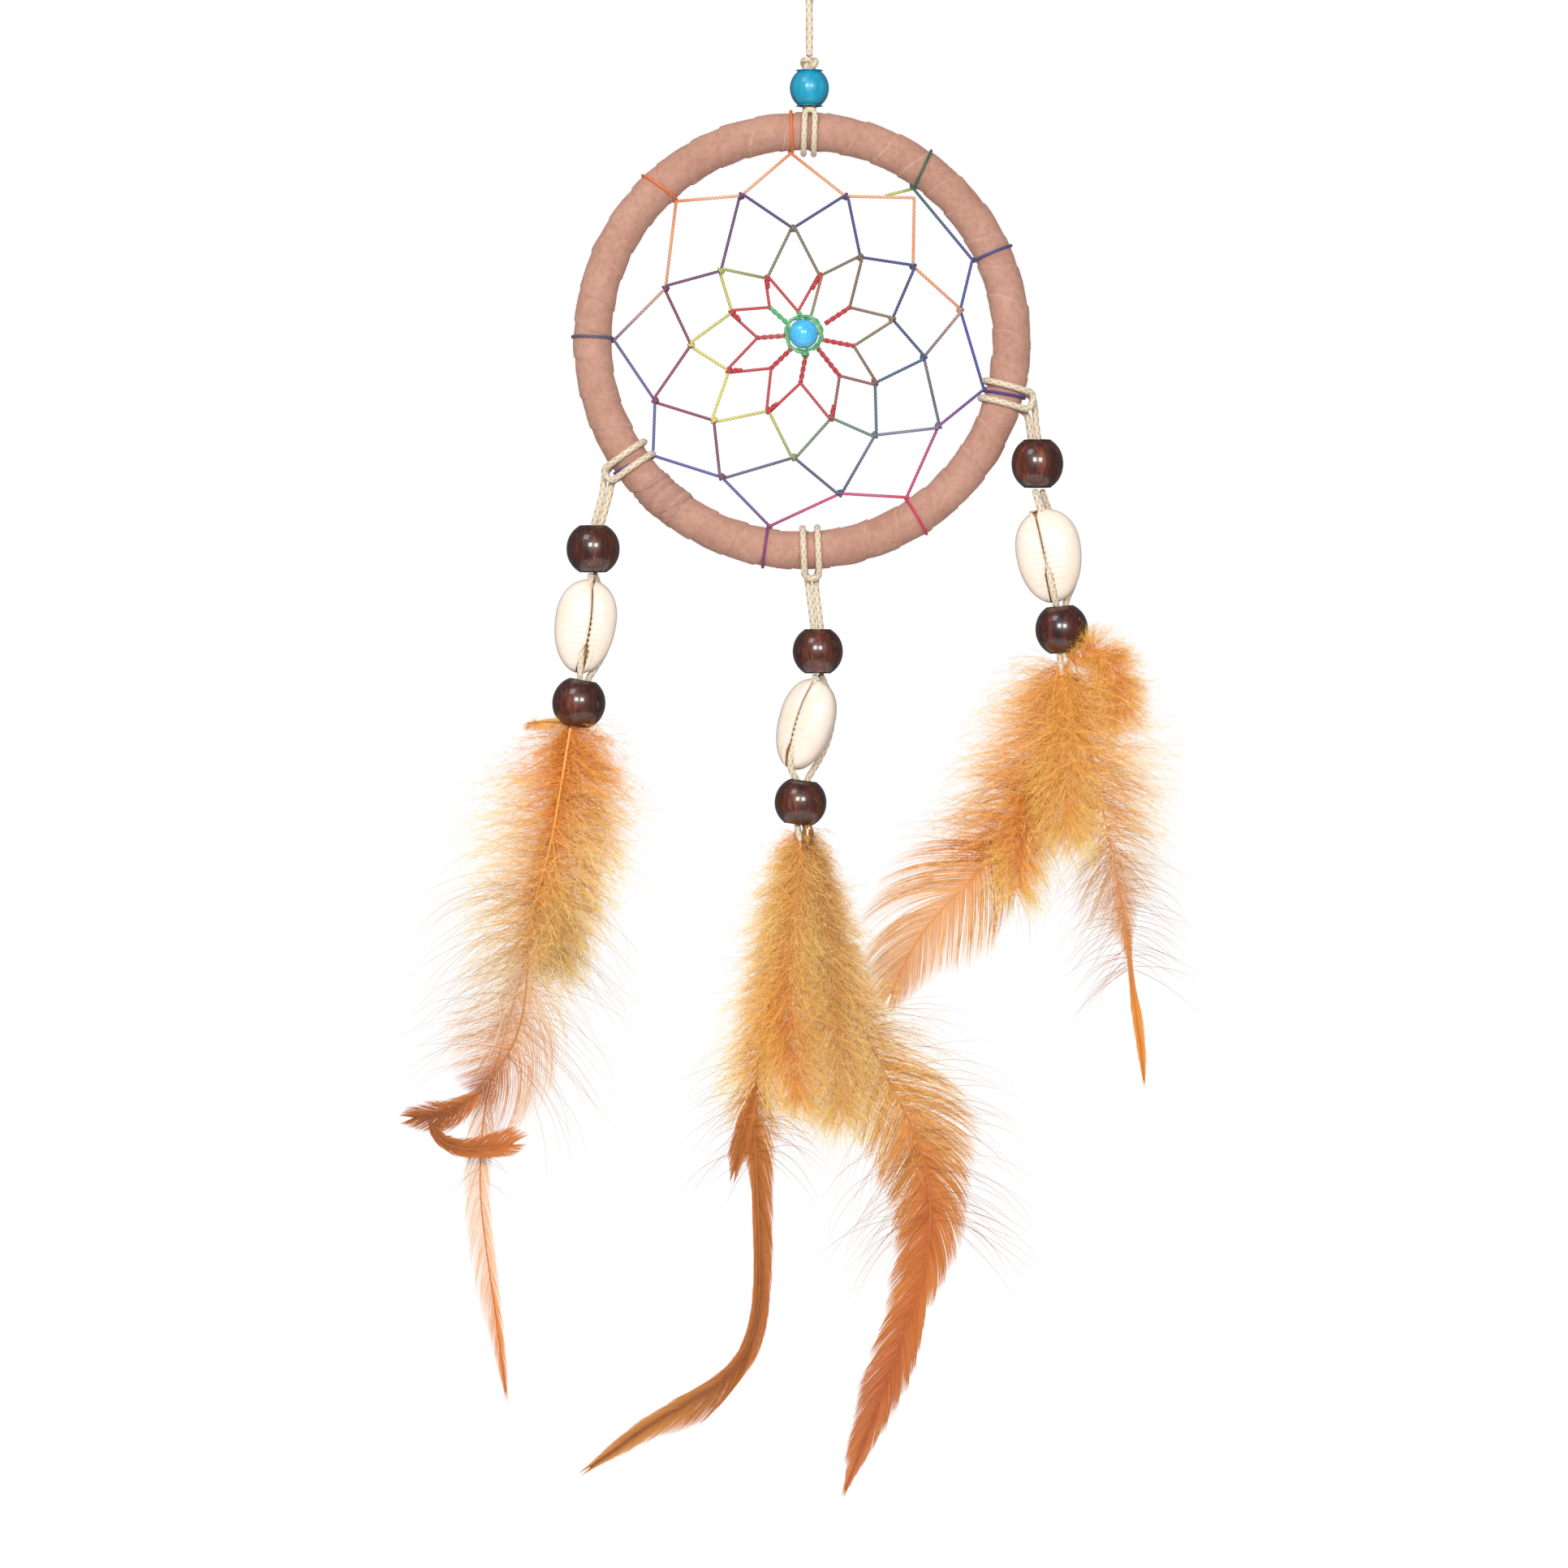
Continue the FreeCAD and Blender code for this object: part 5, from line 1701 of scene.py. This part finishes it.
LEFT_BLADE = Plume(
    "left_folded_blade",
    ((-75, 0.6, -244.6), (-73.8, 0.4, -248.2), (-70, 0.2, -250.4), (-64.5, 0.2, -250.8), (-58.6, 0.4, -249.6)),
    reach=((0, 3), (0.3, 5), (0.7, 6, 7), (1, 3, 4)),
    splay=((0, 16, 22), (0.5, 20, 26), (0.85, 22, 32), (1, 10, 16)),
    soft=((0, 0), (1, 0)),
    tints=((0, (116, 56, 24), (186, 100, 46)), (0.5, (152, 78, 34), (220, 130, 66)),
           (1, (186, 96, 40), (232, 146, 82))),
    vane_per_mm=15, vane_width=0.16, shaft_width=(0.4, 0.14), shaft_tint=(BROWN, RUST), clump=12, seed=45)

LEFT_NARROW = Plume(
    "left_narrow_plume",
    ((-47.4, 0.4, -166.8), (-50, 2.5, -185), (-54, 4.2, -205), (-60, 4.6, -228), (-64.2, 4.6, -241),
     (-65.2, 4.6, -254), (-65, 4.6, -262), (-63.5, 4.6, -273.6), (-61.6, 4.6, -286.4), (-60, 4.6, -298.9)),
    reach=((0, 3), (0.2, 8), (0.45, 9), (0.6, 10, 9), (0.8, 10, 8), (0.93, 6), (1, 2.5)),
    splay=((0, 30), (0.4, 24), (0.6, 19, 14), (0.75, 20, 12), (0.88, 12, 9), (1, 4)),
    soft=((0, 0.6), (0.3, 0.1), (0.5, 0), (1, 0)),
    tints=((0, TAN, PALE), (0.5, (238, 182, 150), (250, 214, 196)), (0.78, (236, 174, 138), (250, 208, 182)),
           (0.86, (232, 144, 76), (240, 170, 106)), (1, (206, 106, 44), (222, 138, 72))),
    vane_per_mm=4, vane_width=0.08, strays=(0.5, 0.7, 8, 8), shaft_width=(0.42, 0.16),
    shaft_tint=((226, 150, 96), (176, 84, 34)), clump=6, seed=43)

LEFT_UNDER = Plume(
    "left_under_plume",
    ((-46.4, 0.2, -167), (-45, 0.4, -176), (-44.6, 0.4, -188), (-46.6, 0.2, -200), (-49.4, 0, -213)),
    reach=((0, 9), (0.1, 13, 12), (0.25, 16, 14), (0.5, 18, 13), (0.8, 14, 12), (1, 8, 9)),
    splay=((0, 50), (0.3, 58, 60), (0.7, 46, 52), (1, 26, 34)),
    tints=((0, (222, 130, 56), WARM), (0.3, (206, 104, 32), SOFT), (0.6, (224, 140, 62), PALE),
           (1, (206, 158, 100), (226, 184, 124))),
    down_per_mm=19, depth=26, seed=47)

LEFT_STUB = Plume(
    "left_broken_stub",
    ((-47.2, -1.2, -166.8), (-50.4, -1.6, -166), (-55.4, -1.8, -166.6)),
    reach=((0, 2.2, 2), (0.6, 1.2, 2.6), (1, 0.4, 1.6)),
    splay=((0, 30, 50), (1, 14, 45)),
    soft=((0, 0.1), (1, 0.1)),
    tints=((0, BROWN, TAN), (0.5, TAN, PALE), (1, RUST, (236, 186, 130))),
    vane_per_mm=12, vane_width=0.14, shaft_width=(0.4, 0.2), shaft_tint=(BROWN, RUST), seed=48)

CENTRE_BROAD = Plume(
    "centre_broad_plume",
    ((-0.6, 0.4, -187.6), (0.6, -0.4, -196), (3.6, -1, -208), (8.4, -0.4, -222), (13.2, 0.6, -232), (17.2, 1.4, -240),
     (20.8, 1.8, -247), (23.4, 1.8, -255.5), (24.2, 1.8, -264.5), (23, 1.8, -274), (19.9, 1.8, -283.4),
     (16.5, 1.8, -292.8), (13.2, 1.8, -302.4), (10.1, 1.8, -310.4), (7.2, 1.8, -317.8)),
    reach=((0, 7), (0.06, 10, 9), (0.15, 14, 12), (0.26, 17, 12.5), (0.34, 17, 18), (0.40, 15.5, 17.5),
           (0.47, 14, 13.5), (0.527, 13, 12.5), (0.592, 12, 11.3), (0.64, 11.6, 10.4), (0.66, 11.4, 9.5),
           (0.675, 11, 10.5), (0.733, 11), (0.806, 10.8, 10.5), (0.88, 10.4, 10), (0.943, 6), (1, 2)),
    splay=((0, 38, 36), (0.15, 46, 38), (0.26, 46, 38), (0.34, 42, 44), (0.40, 44), (0.47, 41, 39), (0.527, 35, 33),
           (0.592, 30, 24), (0.64, 28, 19), (0.66, 27, 15), (0.675, 24, 19), (0.733, 25, 23), (0.74, 21, 23),
           (0.76, 25, 23), (0.806, 23, 18), (0.88, 14, 9), (0.943, 8, 6), (1, 5)),
    soft=((0, 1), (0.3, 1), (0.4, 0.45), (0.47, 0.1), (0.54, 0), (1, 0)),
    tints=((0, (196, 120, 64), TAN), (0.25, (214, 144, 84), (234, 186, 124)), (0.4, (226, 160, 96), (240, 190, 132)),
           (0.5, (206, 120, 58), (228, 164, 100)), (0.58, (192, 96, 40), (222, 148, 86)),
           (0.68, (196, 100, 44), (216, 136, 74)), (0.8, (182, 90, 50), (204, 122, 80)),
           (1, (170, 80, 38), (216, 142, 96))),
    vane_per_mm=12, vane_width=0.19, strays=(0.26, 0.6, 25, 110), shaft_width=(0.46, 0.14),
    shaft_tint=((206, 140, 84), (156, 70, 30)), depth=20, clump=2.4, seed=51)

CENTRE_CURVED = Plume(
    "centre_curved_plume",
    ((-1.8, 0.2, -187.6), (-3.2, -0.6, -200), (-6.2, 0.6, -215), (-9.4, 2.2, -229), (-11, 3, -241), (-10.6, 3, -252),
     (-9.9, 3, -265), (-9.6, 3, -280), (-11.4, 3, -289.6), (-15.8, 3, -295.8), (-23.5, 3, -300.6), (-31.5, 3, -305.2),
     (-38.5, 3, -310.2), (-43.3, 3, -313.6)),
    reach=((0, 7, 6), (0.08, 10, 9), (0.2, 13, 12), (0.32, 12), (0.38, 11, 12), (0.42, 8, 12), (0.55, 9, 12),
           (0.66, 10, 12), (0.72, 10, 13), (0.8, 10, 12), (0.9, 9, 8), (1, 3)),
    splay=((0, 44, 36), (0.2, 48, 40), (0.34, 34, 30), (0.40, 14, 16), (0.45, 8, 14), (0.6, 8, 10), (0.7, 9, 12),
           (0.76, 10, 22), (0.84, 11, 14), (1, 5, 6)),
    soft=((0, 1), (0.32, 1), (0.38, 0.3), (0.41, 0), (1, 0)),
    tints=((0, (220, 134, 60), SOFT), (0.2, (224, 140, 66), PALE), (0.34, (228, 148, 70), PALE),
           (0.42, (168, 92, 36), (206, 126, 58)), (0.6, (134, 70, 30), (206, 120, 56)),
           (0.74, (132, 66, 30), (206, 124, 58)), (0.85, (150, 78, 36), (226, 158, 88)),
           (1, (120, 60, 26), (220, 150, 80))),
    vane_per_mm=11, vane_width=0.13, strays=(0.3, 0.46, 17, 50), shaft_width=(0.46, 0.16),
    shaft_tint=((206, 130, 64), (104, 48, 24)), depth=20, clump=3, seed=53)

CENTRE_BROKEN = Plume(
    "centre_broken_blade",
    ((-10.4, 2.2, -237.6), (-12, 2.4, -244), (-14.6, 2.4, -254.6)),
    reach=((0, 8, 6), (0.4, 8, 7), (1, 3)),
    splay=((0, 12), (0.5, 16, 14), (1, 6, 8)),
    soft=((0, 0), (1, 0)),
    tints=((0, (176, 98, 38), (206, 124, 54)), (1, (150, 80, 34), (196, 112, 48))),
    vane_per_mm=14, vane_width=0.14, shaft_width=(0.3, 0.1), shaft_tint=((170, 90, 40), BROWN), clump=9,
    seed=54)

CENTRE_FRONT = Plume(
    "centre_front_plume",
    ((-1.6, -1, -189.6), (-2.4, -3, -200), (-4.2, -3.8, -214), (-4.4, -3.6, -227), (-2.4, -3, -240)),
    reach=((0, 7), (0.1, 10, 9), (0.3, 12), (0.6, 12, 14), (0.9, 10, 14), (1, 8, 11)),
    splay=((0, 44, 36), (0.3, 54, 42), (0.7, 50, 44), (1, 26, 30)),
    tints=((0, (226, 148, 78), TAN), (0.3, (228, 148, 72), PALE), (0.6, (218, 128, 52), SOFT),
           (0.8, (212, 116, 42), SOFT), (1, (230, 150, 72), PALE)),
    down_per_mm=20, depth=22, seed=55)

CENTRE_FOLD = Plume(
    "centre_fold_plume",
    ((0.4, -1, -189.8), (2.2, -2.6, -200), (4.4, -3.2, -213), (5.8, -2.8, -227), (6.4, -2, -242)),
    reach=((0, 6, 5), (0.1, 9, 7), (0.3, 13, 10), (0.6, 15, 13), (0.9, 14, 15), (1, 10, 12)),
    splay=((0, 34, 32), (0.3, 42, 38), (0.7, 40, 42), (1, 24, 30)),
    tints=((0, (182, 106, 56), (216, 160, 104)), (0.4, (206, 136, 80), (234, 184, 124)),
           (0.7, (218, 148, 84), (236, 190, 130)), (1, (226, 158, 92), (240, 194, 134))),
    down_per_mm=20, depth=20, seed=57)

RIGHT_WIDE = Plume(
    "right_wide_plume",
    ((49.2, -0.6, -154.4), (47.4, -2.2, -165), (44.6, -2.2, -174), (40.8, 0.2, -185.6), (37, 3, -192.2),
     (32, 5.6, -197.6), (24.8, 8.2, -205), (19.8, 9.8, -212), (16.4, 11.4, -220.2)),
    reach=((0, 12, 9), (0.1, 16, 12), (0.25, 18, 13), (0.4, 19, 14), (0.5, 19, 16), (0.56, 22, 19), (0.66, 21, 18),
           (0.69, 16, 17), (0.72, 18, 15), (0.84, 14, 12), (0.94, 8), (1, 3)),
    splay=((0, 52, 42), (0.12, 66, 46), (0.3, 60, 46), (0.45, 52, 46), (0.56, 36, 42), (0.66, 34), (0.69, 22, 32),
           (0.72, 28), (0.85, 24, 20), (1, 10, 8)),
    soft=((0, 1), (0.46, 1), (0.54, 0.25), (0.6, 0), (1, 0)),
    tints=((0, (226, 140, 62), SOFT), (0.2, (234, 146, 64), (246, 180, 104)), (0.4, (226, 126, 44), SOFT),
           (0.5, (210, 92, 20), (240, 160, 74)), (0.58, (236, 164, 104), (250, 206, 160)),
           (0.7, (238, 182, 148), (252, 212, 184)), (0.85, (236, 180, 150), (250, 210, 186)),
           (1, (228, 168, 138), (246, 202, 176))),
    down_per_mm=24, vane_per_mm=11, vane_width=0.13, strays=(0.26, 0.56, 21, 70), shaft_width=(0.5, 0.16),
    shaft_tint=((236, 160, 76), (214, 136, 66)), depth=22, clump=3.4, seed=61)

RIGHT_NARROW = Plume(
    "right_narrow_plume",
    ((51, -0.6, -154.4), (53.6, -2.4, -165), (56.2, -1.8, -176), (58.3, -0.2, -185.6), (60.1, 1, -193.6),
     (61.7, 1.7, -201.6), (62.9, 1.8, -209.6), (63.5, 1.8, -216), (64.5, 1.8, -224), (65.6, 1.8, -231.5),
     (66.1, 1.8, -237)),
    reach=((0, 8, 14), (0.08, 12, 18), (0.2, 15, 20), (0.33, 15, 18), (0.42, 14), (0.47, 16, 12), (0.52, 11, 8),
           (0.6, 7, 5), (0.68, 3), (0.78, 5, 6), (0.88, 5, 5.5), (1, 2)),
    splay=((0, 40, 56), (0.1, 48, 64), (0.3, 50, 58), (0.42, 44), (0.5, 30, 26), (0.62, 14, 16), (0.72, 8),
           (0.8, 10, 12), (0.9, 8, 10), (1, 4)),
    soft=((0, 1), (0.38, 1), (0.45, 0.3), (0.5, 0), (1, 0)),
    tints=((0, (230, 146, 66), SOFT), (0.2, (238, 154, 72), (248, 188, 116)), (0.38, (234, 152, 78), (246, 192, 128)),
           (0.46, (220, 160, 128), (236, 198, 172)), (0.6, (208, 142, 108), (230, 182, 152)),
           (0.72, (196, 120, 78), (226, 160, 110)), (0.8, (224, 140, 50), (240, 168, 78)),
           (1, (214, 124, 36), (232, 156, 66))),
    vane_per_mm=10, vane_width=0.08, strays=(0.24, 0.74, 16, 120), shaft_width=(0.45, 0.18),
    shaft_tint=((236, 166, 90), (180, 96, 44)), depth=22, clump=3, seed=63)

RIGHT_MIDDLE = Plume(
    "right_middle_plume",
    ((51.2, 0.9, -157.8), (50.9, -2.6, -166), (50.2, -3.8, -176), (50.8, -3.4, -187)),
    reach=((0, 9, 10), (0.1, 12, 13), (0.3, 15), (0.7, 14), (1, 11)),
    splay=((0, 56, 58), (0.3, 58), (0.7, 46, 48), (1, 26)),
    tints=((0, (226, 138, 60), SOFT), (0.5, (232, 146, 62), (246, 182, 106)), (1, (238, 158, 76), PALE)),
    down_per_mm=22, depth=24, seed=65)

RIGHT_LOBE = Plume(
    "right_low_lobe",
    ((44.6, -1, -176), (42.8, -1.8, -184), (41.8, -1.6, -192), (41.2, -1, -199)),
    reach=((0, 8, 7), (0.5, 11, 10), (1, 9)),
    splay=((0, 50, 46), (0.6, 50, 46), (1, 34, 38)),
    tints=((0, (222, 118, 36), WARM), (0.5, (216, 104, 26), SOFT), (1, (238, 160, 78), PALE)),
    down_per_mm=18, shaft_width=(0.24, 0.06), depth=24, seed=66)

RIGHT_TUFT = Plume(
    "right_small_tuft",
    ((52.4, -1.6, -155), (55.2, -2.8, -151.4), (58.4, -3, -152.6), (60.6, -3, -157.6), (61.4, -3, -164.4)),
    reach=((0, 4, 5), (0.25, 6, 6.5), (0.5, 8, 7), (0.8, 9, 8.5), (1, 8)),
    splay=((0, 60), (0.5, 62, 60), (1, 34, 40)),
    tints=((0, (232, 140, 60), SOFT), (1, (230, 138, 56), (246, 178, 104))),
    down_per_mm=24, shaft_width=(0.25, 0.06), depth=26, seed=67)


def pendants() -> list[Pendant]:
    """The three pendants, from left to right."""
    left = Pendant(
        "left", 214.8, 0.00145,
        first_end=[(-40.5, 0.6, -117.9), (-40.6, 0.2, -121), (-41.7, 0.1, -124.9), (-42.9, 0, -129),
                   (-43.3, 0, -132.4), (-43.3, 0, -135.6)],
        second_end=[(-39, 0.6, -119), (-39.2, 0.2, -121), (-40.3, 0.1, -124.9), (-41.5, 0, -129), (-41.9, 0, -132.4),
                    (-41.9, 0, -135.6)],
        hitch_length=0.0900, blend_span=((-0.0395, 0.0, -0.1190), (-0.0404, 0.0, -0.1240)),
        upper_bead=((-0.0426, 0.0, -0.1322), 0.0105, 0.0090, 0.0),
        lower_bead=((-0.0454, 0.0, -0.1626), 0.0105, 0.0090, 10.0),
        shell=Cowrie("left_cowrie", (-0.0442, 0.0, -0.1475), 0.0120, 0.0186, 0.0084, 8.3, slit_offset=0.0001,
                     slit_bow=0.0010),
        front=[(-43, -0.5, -137), (-43.1, -0.8, -139.6), (-43.8, -1, -144.5), (-44.6, -1.3, -150),
               (-45, -2.1, -154.8), (-45.2, -1.4, -158.6), (-45.5, -0.7, -163), (-46.1, -0.9, -167.6)],
        back=[(-42.4, 0.8, -137), (-41.6, 3.2, -139.2), (-40.3, 4.8, -142.4), (-39.3, 5, -146.6),
              (-39.6, 4.2, -150.8), (-41.6, 2.4, -154.8), (-44, 0.9, -158.3), (-45, 0.8, -162.8),
              (-45.9, 0.8, -167.6)],
        strand_lengths=(0.0308, 0.0340), strand_end=Ends.INTO_OBJECT,
        plumes=((LEFT_LONG, ("left_long_feather",)), (LEFT_NARROW, ("left_narrow_feather",)),
                (LEFT_UNDER, ("left_down",)), (LEFT_STUB, ()), (LEFT_FRAY, ()), (LEFT_BLADE, ())),
        glue=((-0.0462, -0.0010, -0.1668), 0.0024, 0.0018))
    centre = Pendant(
        "centre", 272.4, 0.00145,
        first_end=[(-0.3, 0.5, -138.3), (-0.1, 0.2, -140.2), (0.5, 0.1, -144.6), (1, 0, -149), (1.1, 0, -152.4),
                   (1, 0, -155.4)],
        second_end=[(1.3, 0.5, -138.3), (1.3, 0.2, -140.2), (1.9, 0.1, -144.6), (2.4, 0, -149), (2.5, 0, -152.4),
                    (2.4, 0, -155.4)],
        hitch_length=0.0900, blend_span=((0.0004, 0.0, -0.1384), (0.0010, 0.0, -0.1434)),
        upper_bead=((0.0017, 0.0, -0.1524), 0.0099, 0.0085, 0.0),
        lower_bead=((-0.0017, 0.0, -0.1822), 0.0102, 0.0086, 8.0),
        shell=Cowrie("centre_cowrie", (-0.0009, 0.0, -0.1668), 0.0110, 0.0184, 0.0092, 16.6, slit_offset=0.0,
                     slit_bow=-0.0007, slit_open=0.4, turn=-24.0),
        front=[(1.2, -0.5, -156.9), (1.2, -0.9, -159.4), (0.1, -1.1, -163.4), (-1.9, -1.4, -168.2),
               (-3.6, -2.6, -172.4), (-3.8, -2.1, -175.6), (-1.7, -0.8, -179), (-1.9, -0.7, -182.6),
               (-2.6, -0.9, -187), (-1.6, -1.1, -190)],
        back=[(2.2, 0.8, -156.9), (3.4, 3.2, -159.2), (4.4, 5.2, -162.4), (4.6, 6, -166.6), (3.6, 5.4, -170.6),
              (1.6, 3.4, -174.6), (-0.6, 1.2, -177.8), (-1.2, 0.9, -182.4), (-0.9, -0.5, -187), (0.2, -1, -190.2)],
        strand_lengths=(0.0341, 0.0378), strand_end=Ends.INTO_OBJECT,
        plumes=((CENTRE_BROAD, ("centre_broad_feather",)), (CENTRE_CURVED, ("centre_curved_feather",)),
                (CENTRE_FRONT, ("centre_down",)), (CENTRE_FOLD, ()), (CENTRE_BROKEN, ())),
        glue=((-0.0003, -0.0022, -0.1886), 0.0022, 0.0042))
    right = Pendant(
        "right", 345.0, 0.00175,
        first_end=[(43, 0.6, -105.6), (43.3, 0.2, -107.5), (43.8, 0.1, -111), (44.3, 0, -114.8), (44.3, 0, -119)],
        second_end=[(44.4, 0.9, -102.6), (44.6, 0.3, -105.8), (44.7, 0.2, -107.5), (45.2, 0.1, -111),
                    (45.7, 0, -114.8), (45.7, 0, -119)],
        hitch_length=0.0853, blend_span=((0.0437, 0.0, -0.1056), (0.0444, 0.0, -0.1100)),
        upper_bead=((0.0450, 0.0, -0.1154), 0.0102, 0.0092, 0.0),
        lower_bead=((0.0498, 0.0, -0.1481), 0.0104, 0.0090, -5.0),
        shell=Cowrie("right_cowrie", (0.0473, 0.0, -0.1336), 0.0128, 0.0186, 0.0088, -7.5, slit_offset=-0.0010,
                     slit_bow=0.0, slit_lean=-0.0008, slit_open=0.15),
        front=[(44.4, -0.6, -120.5), (45.2, -0.8, -123.2), (46.3, -1, -126.8), (46.4, -1.4, -131.2), (47, -2, -136),
               (47.9, -2.2, -140.6), (48.9, -0.9, -144.2), (49.5, -0.8, -148.2), (49.2, -0.9, -152.8),
               (49.9, -1.2, -157.4)],
        back=[(45.9, 0.8, -120.5), (46.8, 2.4, -123.4), (48.8, 4.6, -127), (51.2, 5.2, -131.4), (52.9, 4, -135.6),
              (52.3, 2.9, -139.2), (50.4, 1.1, -142.9), (50.2, 0.9, -148), (51, -0.2, -152.6), (52.5, -1.1, -157)],
        strand_lengths=(0.0375, 0.0405), strand_end=Ends.CUT,
        plumes=((RIGHT_WIDE, ("right_wide_feather",)), (RIGHT_NARROW, ("right_narrow_feather",)),
                (RIGHT_MIDDLE, ("right_down",)), (RIGHT_LOBE, ()), (RIGHT_TUFT, ())),
        glue=((0.0519, -0.0006, -0.1580), 0.0026, 0.0022, "feathers"))
    return [left, centre, right]


# ---- studio


@dataclass
class Studio:
    """The camera, the soft lights and the pale floor."""

    camera_place: Point = (-0.00496, -1.2, -0.17856)
    lens: float = 139.75
    sensor: float = 36.0
    floor_height: float = -0.37
    floor_radius: float = 0.25
    sky: float = 0.5
    mirrored_sky: float = 0.16

    def camera(self) -> None:
        """Aim the camera squarely at the hoop's front."""
        data = bpy.data.cameras.new("camera")
        data.lens = self.lens
        data.sensor_width = self.sensor
        data.clip_start = 0.01
        camera = bpy.data.objects.new("camera", data)
        camera.location = self.camera_place
        camera.rotation_euler = (math.pi / 2, 0.0, 0.0)
        bpy.context.scene.collection.objects.link(camera)
        bpy.context.scene.camera = camera

    def lights(self) -> None:
        """Set three soft lights and the even sky round the object."""
        target = Vector((0.0, 0.0, -0.16))
        for name, place, size, power in (
                ("key", (-0.24, -1.15, 0.16), 0.3, 6.2), ("fill", (0.26, -1.15, 0.14), 0.3, 5.6),
                ("top", (-0.5, -0.6, 0.65), 0.4, 2.2)):
            data = bpy.data.lights.new(name, "AREA")
            data.shape = "SQUARE"
            data.size = size
            data.energy = power
            light = bpy.data.objects.new(name, data)
            light.location = place
            light.rotation_euler = (target - Vector(place)).to_track_quat("-Z", "Y").to_euler()
            bpy.context.scene.collection.objects.link(light)
        world = bpy.data.worlds.new("studio")
        world.use_nodes = True
        world.node_tree.nodes.clear()
        board = NodeBoard(world.node_tree)
        seen = board.put("Background", Color=(1.0, 1.0, 1.0, 1.0), Strength=1.0)
        lit = board.put("Background", Color=paint((250, 252, 255)), Strength=self.sky)
        dim = board.put("Background", Color=paint((235, 240, 250)), Strength=self.mirrored_sky)
        path = board.put("LightPath")
        softer = board.put("MixShader", in0=path.outputs["Is Glossy Ray"], in1=lit.outputs[0], in2=dim.outputs[0])
        mixed = board.put("MixShader", in0=path.outputs["Is Camera Ray"], in1=softer.outputs[0], in2=seen.outputs[0])
        board.put("OutputWorld", Surface=mixed.outputs[0])
        bpy.context.scene.world = world
        bpy.context.scene.view_settings.view_transform = "Standard"

    def floor(self) -> None:
        """Lay a round sheet of white paper below the object."""
        turn = circle(96)
        rings = np.linspace(0.02, 1.0, 24)[:, None] * self.floor_radius
        points = np.stack([rings * np.cos(turn), rings * np.sin(turn), np.full((24, 96), self.floor_height)],
                          axis=-1)
        points[..., 2] += 0.0004 * ripple(points[..., 0] * 30, 2) + 0.0004 * ripple(points[..., 1] * 30, 3)
        floor = MeshParts().add(points, [grid_faces(24, 96), np.arange(96)[None, ::-1]])
        floor.build("floor", PAPER)


def main() -> None:
    """Build the camera and the cords first, then every other piece."""
    logging.basicConfig(level=logging.INFO, format="%(name)s: %(message)s")
    studio = Studio()
    studio.camera()
    strings = pendants()
    Hanger().make()
    for string in strings:
        string.make_cords()
    SuedeHoop().make()
    Web().make()
    for string in strings:
        string.make()
    studio.lights()
    studio.floor()


if __name__ == "__main__":
    main()
